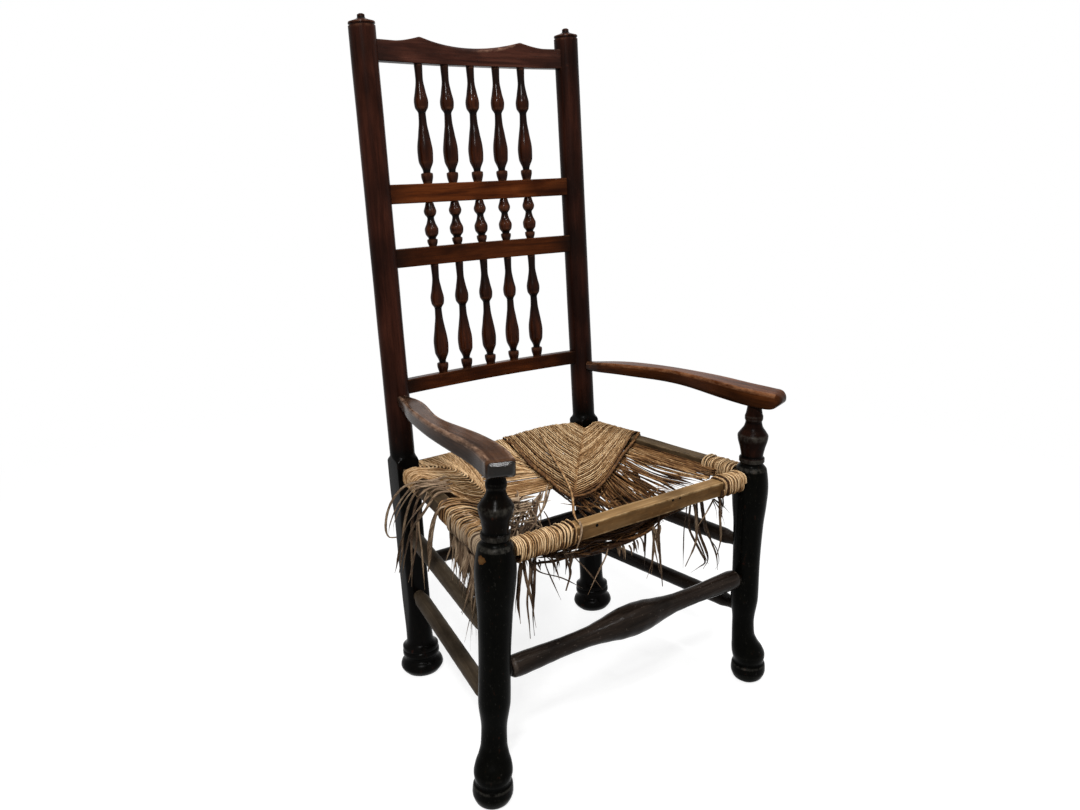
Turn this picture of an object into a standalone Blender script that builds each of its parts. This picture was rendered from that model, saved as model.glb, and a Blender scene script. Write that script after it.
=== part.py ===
"""Spindle back armchair with a torn rush seat.

Units are metres and +Z is up. The chair faces -Y and stands on the floor, with its origin under the
middle of its box. The back is drawn upright in a frame of its own that leans backwards, so heights
in the back run along the posts. In plan, y counts from the front legs' axis until the end.
"""

import math

import bmesh
import bpy
from mathutils import Vector

# Fits
CLEARANCE = 0.0003
SOCKET_DEPTH = 0.014

# Plan of the frame
BACK_HALF_SPACING = 0.2010
FOOT_HALF_SPACING = 0.2664
LEG_LEAN_IN = 0.0275
SEAT_DEPTH = 0.3557
BACK_RAKE = math.radians(5.6)

# Back posts: heights along the post, half widths, and how round the section's corners are
POST_SIDES = 12
POST_RADIUS = 0.0218
POST_HEIGHT = 1.1215
BLOCK_HALF = 0.0210
BLOCK_BASE = 0.348
BLOCK_TOP = 0.404
BLOCK_SHOULDER = 0.0105
LOWER_POST_HALF = 0.0215
LOWER_POST_ROUND = 0.52
BLOCK_ROUND = 0.12
FOOT_SINK = 0.005
BUN_PROFILE = (
    (0.003, 0.0340),
    (0.012, 0.0388),
    (0.021, 0.0362),
    (0.0265, 0.0305),
    (0.0310, 0.0303),
    (0.0345, 0.0332),
    (0.0400, 0.0332),
    (0.0425, 0.0312),
    (0.0450, 0.0326),
    (0.0505, 0.0322),
    (0.0545, 0.0262),
    (0.0620, 0.0240),
)
BUN_BASE_RADIUS = 0.0265
LOWER_POST_FROM = 0.150
# Rise above the post's shaft, and share of the post's radius
CAP_PROFILE = (
    (0.0007, 0.92),
    (0.0027, 0.92),
    (0.0035, 0.995),
    (0.0060, 0.98),
    (0.0085, 0.64),
    (0.0110, 0.345),
    (0.0130, 0.285),
    (0.0170, 0.275),
    (0.0185, 0.16),
)

# Front legs, turned in one piece with the arm supports: height, radius, share of the toe's offsets
LEG_SIDES = 12
TOE_OUTWARD = 0.0078
TOE_FORWARD = 0.0105
RING_HEIGHT = 0.4215
LEG_PROFILE = (
    (0.000, 0.0190, 1.00),
    (0.006, 0.0260, 1.00),
    (0.020, 0.0305, 1.00),
    (0.032, 0.0295, 1.00),
    (0.038, 0.0262, 1.00),
    (0.044, 0.0278, 1.00),
    (0.053, 0.0290, 0.92),
    (0.064, 0.0272, 0.70),
    (0.077, 0.0228, 0.35),
    (0.093, 0.0197, 0.08),
    (0.118, 0.0190, 0.00),
    (0.146, 0.0216, 0.00),
    (0.166, 0.0238, 0.00),
    (0.220, 0.0232, 0.00),
    (0.262, 0.0237, 0.00),
    (0.305, 0.0253, 0.00),
    (0.345, 0.0288, 0.00),
    (0.372, 0.0303, 0.00),
    (0.396, 0.0294, 0.00),
    (0.411, 0.0258, 0.00),
)
# Share of the height from the ring to the arm's underside, and radius
SUPPORT_PROFILE = (
    (0.00, 0.0188),
    (0.03, 0.0213),
    (0.09, 0.0213),
    (0.115, 0.0185),
    (0.26, 0.0208),
    (0.42, 0.0250),
    (0.48, 0.0256),
    (0.53, 0.0228),
    (0.65, 0.0152),
    (0.73, 0.0136),
    (0.775, 0.0152),
    (0.82, 0.0152),
    (0.86, 0.0138),
    (1.00, 0.0145),
)
LEG_TENON_RADIUS = 0.0095
LEG_TENON_LENGTH = 0.018

# Back rails: thickness, backward bow and heights, and the free heights between them. The crest hangs
# from the posts' caps and the other rails hang below it.
RAIL_THICKNESS = 0.018
RAIL_BOW = 0.012
RAIL_TENON = 0.012
RAIL_STATIONS = 6
CREST_BELOW_CAP = 0.0524
CREST_END_HEIGHT = 0.0330
CREST_PEAK_HEIGHT = 0.0420
CREST_DIP_HEIGHT = 0.0295
CREST_PEAK_AT = 0.100
CREST_FLAT_FROM = 0.148
CREST_CHAMFER = 0.0050
EDGE_WEAR = 0.0008
TOP_TIER_HEIGHT = 0.1939
UPPER_RAIL_HEIGHT = 0.0317
MIDDLE_TIER_HEIGHT = 0.0743
MIDDLE_RAIL_HEIGHT = 0.0312
BOTTOM_TIER_HEIGHT = 0.1921
LOWER_RAIL_HEIGHT = 0.0251
CREST_BASE = POST_HEIGHT - CREST_BELOW_CAP
UPPER_RAIL_BASE = CREST_BASE - TOP_TIER_HEIGHT - UPPER_RAIL_HEIGHT
MIDDLE_RAIL_BASE = UPPER_RAIL_BASE - MIDDLE_TIER_HEIGHT - MIDDLE_RAIL_HEIGHT
LOWER_RAIL_BASE = MIDDLE_RAIL_BASE - BOTTOM_TIER_HEIGHT - LOWER_RAIL_HEIGHT

# Spindles: share of the free length from the top, and radius
SPINDLE_COUNT = 5
SPINDLE_PITCH = 0.0512
SPINDLE_SIDES = 8
SPINDLE_TENON_RADIUS = 0.0058
SPINDLE_TENON_LENGTH = 0.010
LONG_SPINDLE = (
    (0.000, 0.0071),
    (0.120, 0.0063),
    (0.227, 0.0092),
    (0.310, 0.0121),
    (0.355, 0.0112),
    (0.406, 0.0063),
    (0.480, 0.0068),
    (0.580, 0.0095),
    (0.730, 0.0132),
    (0.810, 0.0124),
    (0.905, 0.0062),
    (0.915, 0.0101),
    (0.935, 0.0103),
    (1.000, 0.0077),
)
SHORT_SPINDLE = (
    (0.00, 0.0070),
    (0.08, 0.0085),
    (0.20, 0.0111),
    (0.27, 0.0098),
    (0.35, 0.0060),
    (0.46, 0.0076),
    (0.62, 0.0121),
    (0.72, 0.0113),
    (0.83, 0.0066),
    (0.85, 0.0093),
    (0.89, 0.0093),
    (1.00, 0.0070),
)

# Arms: share of the way from the nose to the post, share of the way out from the post to the leg,
# half width, share of the rise from the back to the front, half thickness
ARM_FRONT_HEIGHT = 0.5372
ARM_BACK_HEIGHT = 0.5150
ARM_NOSE_REACH = 0.045
ARM_CORNER = 0.55
ARM_TENON_RADIUS = 0.0065
ARM_STATIONS = (
    (0.996, 0.05, 0.0085, 0.00, 0.0085),
    (0.911, 0.19, 0.0115, 0.19, 0.0100),
    (0.820, 0.37, 0.0155, 0.43, 0.0105),
    (0.730, 0.59, 0.0170, 0.55, 0.0110),
    (0.640, 0.79, 0.0150, 0.67, 0.0115),
    (0.549, 0.95, 0.0138, 0.76, 0.0120),
    (0.425, 1.02, 0.0165, 0.88, 0.0125),
    (0.278, 1.01, 0.0195, 0.976, 0.0140),
    (0.154, 1.05, 0.0205, 1.00, 0.0145),
    (0.078, 1.17, 0.0210, 1.00, 0.0145),
    (0.033, 1.28, 0.0206, 1.03, 0.0136),
    (0.010, 1.345, 0.0196, 1.10, 0.0112),
    (0.000, 1.37, 0.0170, 1.14, 0.0082),
)
PEG_RADIUS = 0.0032
PEG_RISE = 0.0080
PEG_SIDES = 8

# Stretchers: heights of the axes
FRONT_STRETCHER_HEIGHT = 0.208
UPPER_SIDE_HEIGHT = 0.268
LOWER_LEFT_HEIGHT = 0.155
LOWER_RIGHT_HEIGHT = 0.142
BACK_STRETCHER_HEIGHT = 0.2050
STRETCHER_SIDES = 12
STRETCHER_TENON_RADIUS = 0.0105
SIDE_STRETCHER_RADIUS = 0.0135
BACK_STRETCHER_RADIUS = 0.0120
STRETCHER_TAPER = 0.022
# Share of the clear span from the left leg to the middle, and radius
FRONT_STRETCHER = (
    (0.000, 0.0122),
    (0.020, 0.0158),
    (0.065, 0.0168),
    (0.200, 0.0160),
    (0.420, 0.0144),
    (0.600, 0.0150),
    (0.760, 0.0190),
    (0.900, 0.0240),
    (1.000, 0.0252),
)

# Seat rails: heights of the axes at the front legs and at the back posts, half sizes of the section
SEAT_FRONT_HEIGHT = 0.3950
SIDE_RAIL_BACK_HEIGHT = 0.3850
BACK_RAIL_HEIGHT = 0.3800
SEAT_RAIL_HALF_WIDTH = 0.0120
SEAT_RAIL_HALF_HEIGHT = 0.0115
SEAT_RAIL_CHAMFER = 0.0030
SEAT_TENON_HALF = 0.0065
SEAT_RAIL_TAPER = 0.008

# Rush: thickness over the rails and of the woven slab, and the slab's outline as shares of the
# half width between the side rails and of the depth from front rail to back rail
RUSH_THICKNESS = 0.0060
SLAB_ABOVE_RAIL = 0.0085
SLAB_TOP = BACK_RAIL_HEIGHT + SEAT_RAIL_HALF_HEIGHT + SLAB_ABOVE_RAIL
SLAB_THICKNESS = 0.0140
RUSH_OUTLINE = (
    (-0.85, 1.000),
    (0.85, 1.000),
    (1.00, 0.920),
    (1.00, 0.676),
    (0.57, 0.500),
    (0.18, 0.363),
    (-0.05, 0.284),
    (-0.19, 0.254),
    (-0.23, 0.356),
    (-0.42, 0.330),
    (-0.64, 0.381),
    (-0.77, 0.437),
    (-0.90, 0.610),
    (-1.00, 0.757),
    (-1.00, 0.920),
)
RIGHT_SLEEVE_FROM = 0.676
LEFT_SLEEVE_FROM = 0.757
SLEEVE_CHAMFER = 0.007

# Rush still wound on the rails: distance of the first turn from the leg's axis, pitch and turns
WRAP_DIAMETER = 0.0058
WRAP_PITCH = 0.0066
WRAP_FIRST = 0.0360
WRAP_CHAMFER = 0.0050
FRONT_LEFT_TURNS = 15
FRONT_RIGHT_TURNS = 7
LEFT_TURNS = 17
RIGHT_TURNS = 9

# Loose strands: diameters, and routes chosen by hand in x, y from the front legs' axis, z
STRAND_DIAMETER = 0.0044
BUNDLE_DIAMETER = 0.0100
ROUTE_STEP = 0.013
STRAND_ROUTES = {
    "loose_strand_left_loop": (
        (-0.178, 0.281, 0.4026),
        (-0.206, 0.279, 0.4030),
        (-0.228, 0.284, 0.4042),
        (-0.246, 0.297, 0.3960),
        (-0.258, 0.316, 0.3720),
        (-0.264, 0.333, 0.3400),
        (-0.265, 0.342, 0.3080),
        (-0.259, 0.345, 0.2880),
        (-0.247, 0.340, 0.2860),
    ),
    "loose_strand_left_back": (
        (-0.180, 0.264, 0.4026),
        (-0.206, 0.262, 0.4030),
        (-0.226, 0.263, 0.4036),
        (-0.243, 0.270, 0.3900),
        (-0.250, 0.286, 0.3550),
        (-0.252, 0.301, 0.3100),
        (-0.251, 0.313, 0.2650),
        (-0.252, 0.326, 0.2250),
    ),
    "loose_strand_left_middle": (
        (-0.184, 0.248, 0.4026),
        (-0.207, 0.247, 0.4034),
        (-0.228, 0.248, 0.4042),
        (-0.244, 0.253, 0.3900),
        (-0.250, 0.266, 0.3500),
        (-0.249, 0.277, 0.3050),
        (-0.247, 0.284, 0.2550),
        (-0.248, 0.287, 0.2150),
    ),
    "loose_strand_left_front": (
        (-0.2160, 0.166, 0.4051),
        (-0.2400, 0.167, 0.4060),
        (-0.2530, 0.171, 0.3985),
        (-0.2580, 0.182, 0.3600),
        (-0.2550, 0.197, 0.3200),
        (-0.2530, 0.212, 0.2780),
    ),
    "loose_strand_inner_left": (
        (-0.2290, 0.118, 0.3738),
        (-0.2245, 0.121, 0.3350),
        (-0.2220, 0.119, 0.2900),
        (-0.2215, 0.112, 0.2500),
        (-0.2230, 0.100, 0.2150),
    ),
    "loose_strand_front_left": (
        (-0.196, 0.002, 0.3770),
        (-0.195, 0.004, 0.3450),
        (-0.199, 0.006, 0.3050),
        (-0.193, 0.010, 0.2620),
        (-0.190, 0.012, 0.2350),
    ),
    "loose_strand_front_inner": (
        (-0.1400, 0.002, 0.3772),
        (-0.1300, 0.003, 0.3500),
        (-0.1210, 0.006, 0.3250),
        (-0.1260, 0.010, 0.2950),
    ),
    "loose_strand_front_middle": (
        (0.050, 0.003, 0.3830),
        (0.053, 0.004, 0.3400),
        (0.061, 0.006, 0.2900),
        (0.072, 0.010, 0.2400),
    ),
    "loose_strand_front_right": (
        (0.125, 0.003, 0.3824),
        (0.137, 0.006, 0.3450),
        (0.143, 0.010, 0.3000),
        (0.126, 0.014, 0.2580),
    ),
    "loose_strand_right": (
        (0.186, 0.003, 0.3769),
        (0.193, 0.006, 0.3350),
        (0.203, 0.010, 0.2900),
        (0.198, 0.012, 0.2580),
    ),
    "loose_strand_across": (
        (0.070, 0.362, 0.4027),
        (0.024, 0.262, 0.4029),
        (-0.010, 0.185, 0.4029),
        (-0.046, 0.108, 0.4030),
        (-0.075, 0.062, 0.4055),
        (-0.098, 0.030, 0.4086),
        (-0.110, 0.008, 0.4092),
        (-0.114, -0.005, 0.4092),
    ),
}
BUNDLE_ROUTE = (
    (-0.172, 0.010, 0.3733),
    (-0.140, 0.019, 0.3540),
    (-0.085, 0.025, 0.3370),
    (-0.030, 0.026, 0.3340),
    (0.012, 0.020, 0.3500),
    (0.022, 0.008, 0.3803),
)

# Colours as linear red, green, blue, and roughness
FINISHES = {
    "mahogany": ((0.060, 0.018, 0.010), 0.35),
    "dark_stain": ((0.010, 0.008, 0.007), 0.42),
    "arm_wood": ((0.085, 0.033, 0.018), 0.40),
    "worn_stretcher": ((0.045, 0.032, 0.022), 0.65),
    "bare_wood": ((0.260, 0.145, 0.055), 0.60),
    "rush": ((0.330, 0.190, 0.085), 0.80),
}


def clear_scene():
    for old in list(bpy.data.objects):
        bpy.data.objects.remove(old, do_unlink=True)


def new_collection(name):
    made = bpy.data.collections.new(name)
    bpy.context.scene.collection.children.link(made)
    return made


def make_finishes():
    made = {}
    for name, (colour, roughness) in FINISHES.items():
        material = bpy.data.materials.new(name)
        material.use_nodes = True
        shader = material.node_tree.nodes["Principled BSDF"]
        shader.inputs["Base Color"].default_value = (*colour, 1.0)
        shader.inputs["Roughness"].default_value = roughness
        shader.inputs["Metallic"].default_value = 0.0
        made[name] = material
    return made


def add_object(name, data, finish, parent):
    """Link a finished piece, or a cutter when there is no finish."""
    obj = bpy.data.objects.new(name, data)
    obj.parent = parent
    if finish:
        parts.objects.link(obj)
        data.materials.append(finishes[finish])
    else:
        cutters.objects.link(obj)
        obj.hide_render = True
        obj.display_type = "WIRE"
    return obj


def add_empty(name, parent=None):
    empty = bpy.data.objects.new(name, None)
    empty.parent = parent
    parts.objects.link(empty)
    return empty


def turned(name, profile, sides, finish, parent):
    """Lathe a profile of (radius, height) points, listed from the top down, about the local Z axis."""
    points = [(0.0, 0.0, profile[0][1])]
    points += [(radius, 0.0, height) for radius, height in profile]
    points += [(0.0, 0.0, profile[-1][1])]
    mesh = bpy.data.meshes.new(name)
    mesh.from_pydata(points, [(i, i + 1) for i in range(len(points) - 1)], [])
    obj = add_object(name, mesh, finish, parent)
    screw = obj.modifiers.new("turning", "SCREW")
    screw.steps = sides
    screw.render_steps = sides
    screw.use_merge_vertices = True
    screw.merge_threshold = 0.00001
    return obj


def loft(name, rings, finish, parent):
    """Skin rings of equally many points and close both ends."""
    mesh = bpy.data.meshes.new(name)
    shape = bmesh.new()
    loops = [[shape.verts.new(point) for point in ring] for ring in rings]
    for low, high in zip(loops, loops[1:]):
        for i, corner in enumerate(low):
            j = (i + 1) % len(low)
            shape.faces.new((corner, low[j], high[j], high[i]))
    shape.faces.new(loops[0])
    shape.faces.new(loops[-1])
    bmesh.ops.recalc_face_normals(shape, faces=shape.faces)
    shape.to_mesh(mesh)
    shape.free()
    return add_object(name, mesh, finish, parent)


def tube(name, points, diameter, finish, parent):
    """A round strand along the given points."""
    curve = bpy.data.curves.new(name, "CURVE")
    curve.dimensions = "3D"
    curve.bevel_depth = diameter / 2
    curve.bevel_resolution = 1
    curve.use_fill_caps = True
    spline = curve.splines.new("POLY")
    spline.points.add(len(points) - 1)
    for target, point in zip(spline.points, points):
        target.co = (*point, 1.0)
    return add_object(name, curve, finish, parent)


def cut(target, *tools):
    for tool in tools:
        boolean = target.modifiers.new("cut for " + tool.name, "BOOLEAN")
        boolean.operation = "DIFFERENCE"
        boolean.object = tool


def join(target, *tools):
    for tool in tools:
        boolean = target.modifiers.new("join " + tool.name, "BOOLEAN")
        boolean.operation = "UNION"
        boolean.object = tool


def point_at(obj, start, end):
    """Lay an object's local Z axis along the line from start to end."""
    obj.location = start
    obj.rotation_mode = "QUATERNION"
    obj.rotation_quaternion = (end - start).to_track_quat("Z", "Y")


def interpolate(table, at, column):
    """Read a column of a table by its first column, in straight steps."""
    rows = sorted(table)
    if at <= rows[0][0]:
        return rows[0][column]
    for low, high in zip(rows, rows[1:]):
        if at <= high[0]:
            share = (at - low[0]) / (high[0] - low[0])
            return low[column] + share * (high[column] - low[column])
    return rows[-1][column]


def rounded_section(half_width, half_height, corner, count):
    """Points of a rounded rectangle: a quarter of them on each corner's arc."""
    per_corner = count // 4
    points = []
    for turn, (across, up) in enumerate(((1, 1), (-1, 1), (-1, -1), (1, -1))):
        for step in range(per_corner):
            angle = (turn + (step + 0.5) / per_corner) * math.pi / 2
            x = across * (half_width - corner) + corner * math.cos(angle)
            y = up * (half_height - corner) + corner * math.sin(angle)
            points.append((x, y))
    return points


def chamfered_section(half_width, half_height, chamfer):
    w, h, c = half_width, half_height, chamfer
    upper = [(w, h - c), (w - c, h), (c - w, h), (-w, h - c)]
    lower = [(-w, c - h), (c - w, -h), (w - c, -h), (w, c - h)]
    return upper + lower


def leg_axis(side, height):
    return Vector((side * (FOOT_HALF_SPACING - LEG_LEAN_IN * height), 0.0, height))


def post_axis(side, height):
    return Vector((side * BACK_HALF_SPACING, SEAT_DEPTH + height * math.tan(BACK_RAKE), height))


def leg_radius(height):
    return interpolate(LEG_PROFILE, height, 1)


def post_rings():
    """(height along the post, half width, roundness) from the floor to the nipple."""
    rows = [(-FOOT_SINK, BUN_BASE_RADIUS, 1.0)]
    rows += [(height, radius, 1.0) for height, radius in BUN_PROFILE]
    rows += [
        (LOWER_POST_FROM, LOWER_POST_HALF, LOWER_POST_ROUND),
        (2 * BLOCK_BASE - BLOCK_TOP, LOWER_POST_HALF, LOWER_POST_ROUND),
        (BLOCK_BASE, BLOCK_HALF, BLOCK_ROUND),
        (BLOCK_TOP, BLOCK_HALF, BLOCK_ROUND),
        (BLOCK_TOP + BLOCK_SHOULDER, POST_RADIUS, 1.0),
        (POST_HEIGHT, POST_RADIUS, 1.0),
    ]
    rows += [(POST_HEIGHT + rise, POST_RADIUS * share, 1.0) for rise, share in CAP_PROFILE]
    return rows


def post_half(height):
    return interpolate(post_rings(), height / math.cos(BACK_RAKE), 1)


def make_back_post(name, side):
    rings = []
    for height, half, roundness in post_rings():
        section = rounded_section(half, half, half * roundness, POST_SIDES)
        rings.append([(side * BACK_HALF_SPACING + x, y, height) for x, y in section])
    return loft(name, rings, "mahogany", back)


def make_floor_cutter():
    reach = 2 * SEAT_DEPTH
    low = [(-reach, -reach, -reach), (reach, -reach, -reach), (reach, reach, -reach), (-reach, reach, -reach)]
    high = [(x, y, 0.0) for x, y, z in low]
    return loft("below_floor", [low, high], None, chair)


def arm_point(station):
    """Centre of the right arm at a row of its table."""
    along, outward, half_width, rise, half_thickness = station
    height = ARM_BACK_HEIGHT + rise * (ARM_FRONT_HEIGHT - ARM_BACK_HEIGHT)
    post = post_axis(1, ARM_BACK_HEIGHT)
    post_front = post.y - POST_RADIUS
    leg_x = leg_axis(1, ARM_FRONT_HEIGHT).x
    x = post.x + outward * (leg_x - post.x)
    y = -ARM_NOSE_REACH + along * (ARM_NOSE_REACH + post_front)
    return Vector((x, y, height))


def arm_outward(number):
    """The way straight across the right arm at a row of its table, level and away from the chair."""
    if number == 0:
        return Vector((1.0, 0.0, 0.0))
    behind = arm_point(ARM_STATIONS[number - 1])
    ahead = arm_point(ARM_STATIONS[min(number + 1, len(ARM_STATIONS) - 1)])
    return Vector((behind.y - ahead.y, ahead.x - behind.x, 0.0)).normalized()


def arm_underside():
    """Height of the arm's underside over the leg."""
    along = ARM_NOSE_REACH / (ARM_NOSE_REACH + post_axis(1, ARM_BACK_HEIGHT).y - POST_RADIUS)
    rise = interpolate(ARM_STATIONS, along, 3)
    centre = ARM_BACK_HEIGHT + rise * (ARM_FRONT_HEIGHT - ARM_BACK_HEIGHT)
    return centre - interpolate(ARM_STATIONS, along, 4)


def arm_tenon_ends(side):
    """The arm's back tenon runs from its shoulder into the post."""
    shoulder = arm_point(ARM_STATIONS[0])
    inside = shoulder + Vector((0.0, SOCKET_DEPTH, 0.0))
    return [Vector((side * p.x, p.y, p.z)) for p in (shoulder, inside)]


def make_arm(name, side):
    rings = []
    shoulder, inside = arm_tenon_ends(side)
    for centre in (inside, shoulder):
        section = rounded_section(ARM_TENON_RADIUS, ARM_TENON_RADIUS, ARM_TENON_RADIUS, 12)
        rings.append([(centre.x + side * x, centre.y, centre.z + z) for x, z in section])
    for number, station in enumerate(ARM_STATIONS):
        half_width, half_thickness = station[2], station[4]
        corner = ARM_CORNER * min(half_width, half_thickness)
        centre, outward = arm_point(station), arm_outward(number)
        ring = []
        for across, rise in rounded_section(half_width, half_thickness, corner, 12):
            point = centre + across * outward
            ring.append((side * point.x, point.y, point.z + rise))
        rings.append(ring)
    return loft(name, rings, "arm_wood", chair)


def make_front_leg(name, side):
    rings = []
    top = arm_underside() - CLEARANCE
    rows = list(LEG_PROFILE)
    rows += [(RING_HEIGHT + share * (top - RING_HEIGHT), radius, 0.0) for share, radius in SUPPORT_PROFILE]
    rows += [(top, LEG_TENON_RADIUS, 0.0), (top + LEG_TENON_LENGTH, LEG_TENON_RADIUS, 0.0)]
    for height, radius, toe in rows:
        axis = leg_axis(side, height)
        centre = axis + Vector((side * toe * TOE_OUTWARD, -toe * TOE_FORWARD, 0.0))
        section = rounded_section(radius, radius, radius, LEG_SIDES)
        rings.append([(centre.x + x, centre.y + y, height) for x, y in section])
    return loft(name, rings, "dark_stain", chair)


def leg_tenon_cutter(side):
    base = arm_underside() - 0.01
    top = arm_underside() + LEG_TENON_LENGTH + CLEARANCE
    rings = []
    for height in (base, top):
        centre = leg_axis(side, height)
        section = rounded_section(*[LEG_TENON_RADIUS + CLEARANCE] * 3, LEG_SIDES)
        rings.append([(centre.x + x, centre.y + y, height) for x, y in section])
    return loft(f"leg_tenon_socket_{side}", rings, None, chair)


def peg_ends(side):
    """The arm peg runs from just inside the arm's inner face past the leg's tenon."""
    height = arm_underside() + PEG_RISE
    leg = leg_axis(1, height)
    along = ARM_NOSE_REACH / (ARM_NOSE_REACH + post_axis(1, ARM_BACK_HEIGHT).y - POST_RADIUS)
    centre_x = arm_point((along, interpolate(ARM_STATIONS, along, 1), 0, 0, 0)).x
    inner_face = centre_x - interpolate(ARM_STATIONS, along, 2)
    start = Vector((side * (inner_face + PEG_RADIUS / 4), 0.0, height))
    end = Vector((side * (leg.x + LEG_TENON_RADIUS / 2), 0.0, height))
    return start, end


def make_peg(name, side):
    start, end = peg_ends(side)
    profile = [(PEG_RADIUS, (end - start).length), (PEG_RADIUS, 0.0)]
    peg = turned(name, profile, PEG_SIDES, "dark_stain", chair)
    point_at(peg, start, end)
    return peg


def peg_cutter(side):
    start, end = peg_ends(side)
    length = (end - start).length
    radius = PEG_RADIUS + CLEARANCE
    profile = [(radius, length + CLEARANCE), (radius, -2 * PEG_RADIUS)]
    rod = turned(f"peg_socket_{side}", profile, PEG_SIDES, None, chair)
    point_at(rod, start, end)
    return rod


def rail_half_span():
    return BACK_HALF_SPACING - POST_RADIUS


def bow(x):
    """How far a back rail stands behind the posts' plane."""
    return RAIL_BOW * max(0.0, 1.0 - (x / rail_half_span()) ** 2)


def crest_height(x):
    """Height of the crest rail: flat ends, a peak each side and a hollow between the peaks."""
    at = abs(x)
    if at >= CREST_FLAT_FROM:
        return CREST_END_HEIGHT
    if at >= CREST_PEAK_AT:
        share = (CREST_FLAT_FROM - at) / (CREST_FLAT_FROM - CREST_PEAK_AT)
        return CREST_END_HEIGHT + (CREST_PEAK_HEIGHT - CREST_END_HEIGHT) * share**1.5
    return CREST_DIP_HEIGHT + (CREST_PEAK_HEIGHT - CREST_DIP_HEIGHT) * (at / CREST_PEAK_AT) ** 2


def crest_chamfer(x):
    """The front edge is worn round in the crest's hollow."""
    return max(EDGE_WEAR, CREST_CHAMFER * (1.0 - (x / CREST_PEAK_AT) ** 2))


def rail_ring(x, base, height, chamfer=EDGE_WEAR, grow=0.0):
    """Section of a back rail at x, its top front edge taken off by the chamfer."""
    half = RAIL_THICKNESS / 2 + grow
    front, rear = bow(x) - half, bow(x) + half
    low, high = base - grow, base + height + grow
    return [
        (x, front, low),
        (x, rear, low),
        (x, rear, high),
        (x, front + chamfer, high),
        (x, front, high - chamfer),
    ]


def make_back_rail(name, base, height_at, stations, chamfer_at=lambda x: EDGE_WEAR):
    reach = rail_half_span() + RAIL_TENON
    xs = sorted({reach, rail_half_span(), *stations})
    xs = [-x for x in reversed(xs) if x > 0] + xs
    rings = [rail_ring(x, base, height_at(x), chamfer_at(x)) for x in xs]
    rail = loft(name, rings, "mahogany", back)
    end = reach + CLEARANCE
    rings = [rail_ring(x, base, height_at(reach), grow=CLEARANCE) for x in (-end, end)]
    mortises = loft(name + "_mortises", rings, None, back)
    cut(post_left, mortises)
    cut(post_right, mortises)
    return rail


def spindle_profile(table, top, bottom):
    shoulder, foot = top - CLEARANCE, bottom + CLEARANCE
    upper_tenon = [(SPINDLE_TENON_RADIUS, top + SPINDLE_TENON_LENGTH), (SPINDLE_TENON_RADIUS, shoulder)]
    lower_tenon = [(SPINDLE_TENON_RADIUS, foot), (SPINDLE_TENON_RADIUS, bottom - SPINDLE_TENON_LENGTH)]
    shape = [(radius, shoulder - share * (shoulder - foot)) for share, radius in table]
    return upper_tenon + shape + lower_tenon


def make_spindles(tier, table, rail_above, above_base, rail_below, below_top):
    for number in range(SPINDLE_COUNT):
        x = (number - (SPINDLE_COUNT - 1) / 2) * SPINDLE_PITCH
        place = Vector((x, bow(x), 0.0))
        name = f"{tier}_spindle_{number + 1}"
        spindle = turned(name, spindle_profile(table, above_base, below_top), SPINDLE_SIDES, "mahogany", back)
        spindle.location = place
        radius = SPINDLE_TENON_RADIUS + CLEARANCE
        reach = SPINDLE_TENON_LENGTH + CLEARANCE
        profile = [(radius, above_base + reach), (radius, below_top - reach)]
        rod = turned(name + "_sockets", profile, SPINDLE_SIDES, None, back)
        rod.location = place
        cut(rail_above, rod)
        cut(rail_below, rod)


def make_stretcher(name, start, end, start_radius, end_radius, shape, finish, holders):
    """A turned bar between two axis points, its ends let into the holders.

    shape makes the profile between the holders' surfaces, from the far one down to the near one.
    """
    length = (end - start).length
    low, high = start_radius, length - end_radius
    profile = [(STRETCHER_TENON_RADIUS, high + SOCKET_DEPTH - CLEARANCE)]
    profile += shape(low, high)
    profile += [(STRETCHER_TENON_RADIUS, low - SOCKET_DEPTH + CLEARANCE)]
    bar = turned(name, profile, STRETCHER_SIDES, finish, chair)
    point_at(bar, start, end)
    radius = STRETCHER_TENON_RADIUS + CLEARANCE
    rod = turned(
        name + "_sockets",
        [(radius, high + SOCKET_DEPTH), (radius, low - SOCKET_DEPTH)],
        STRETCHER_SIDES,
        None,
        chair,
    )
    point_at(rod, start, end)
    for holder in holders:
        cut(holder, rod)
    return bar


def plain_shape(radius):
    """A bar of one radius that draws in to its tenons just before it meets the legs."""

    def shape(low, high):
        gap = CLEARANCE + STRETCHER_TENON_RADIUS / 4
        return [
            (STRETCHER_TENON_RADIUS, high - gap),
            (radius, high - gap - STRETCHER_TAPER),
            (radius, low + gap + STRETCHER_TAPER),
            (STRETCHER_TENON_RADIUS, low + gap),
        ]

    return shape


def swollen_shape(low, high):
    """The front stretcher: rounded ends, slim necks and a swollen middle."""
    gap = CLEARANCE + STRETCHER_TENON_RADIUS / 6
    middle = (low + high) / 2
    half = middle - low - gap
    upper = [(radius, high - gap - share * half) for share, radius in FRONT_STRETCHER]
    lower = [(radius, low + gap + share * half) for share, radius in reversed(FRONT_STRETCHER[:-1])]
    inner = [(STRETCHER_TENON_RADIUS, high - gap)]
    return inner + upper + lower + [(STRETCHER_TENON_RADIUS, low + gap)]


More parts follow.
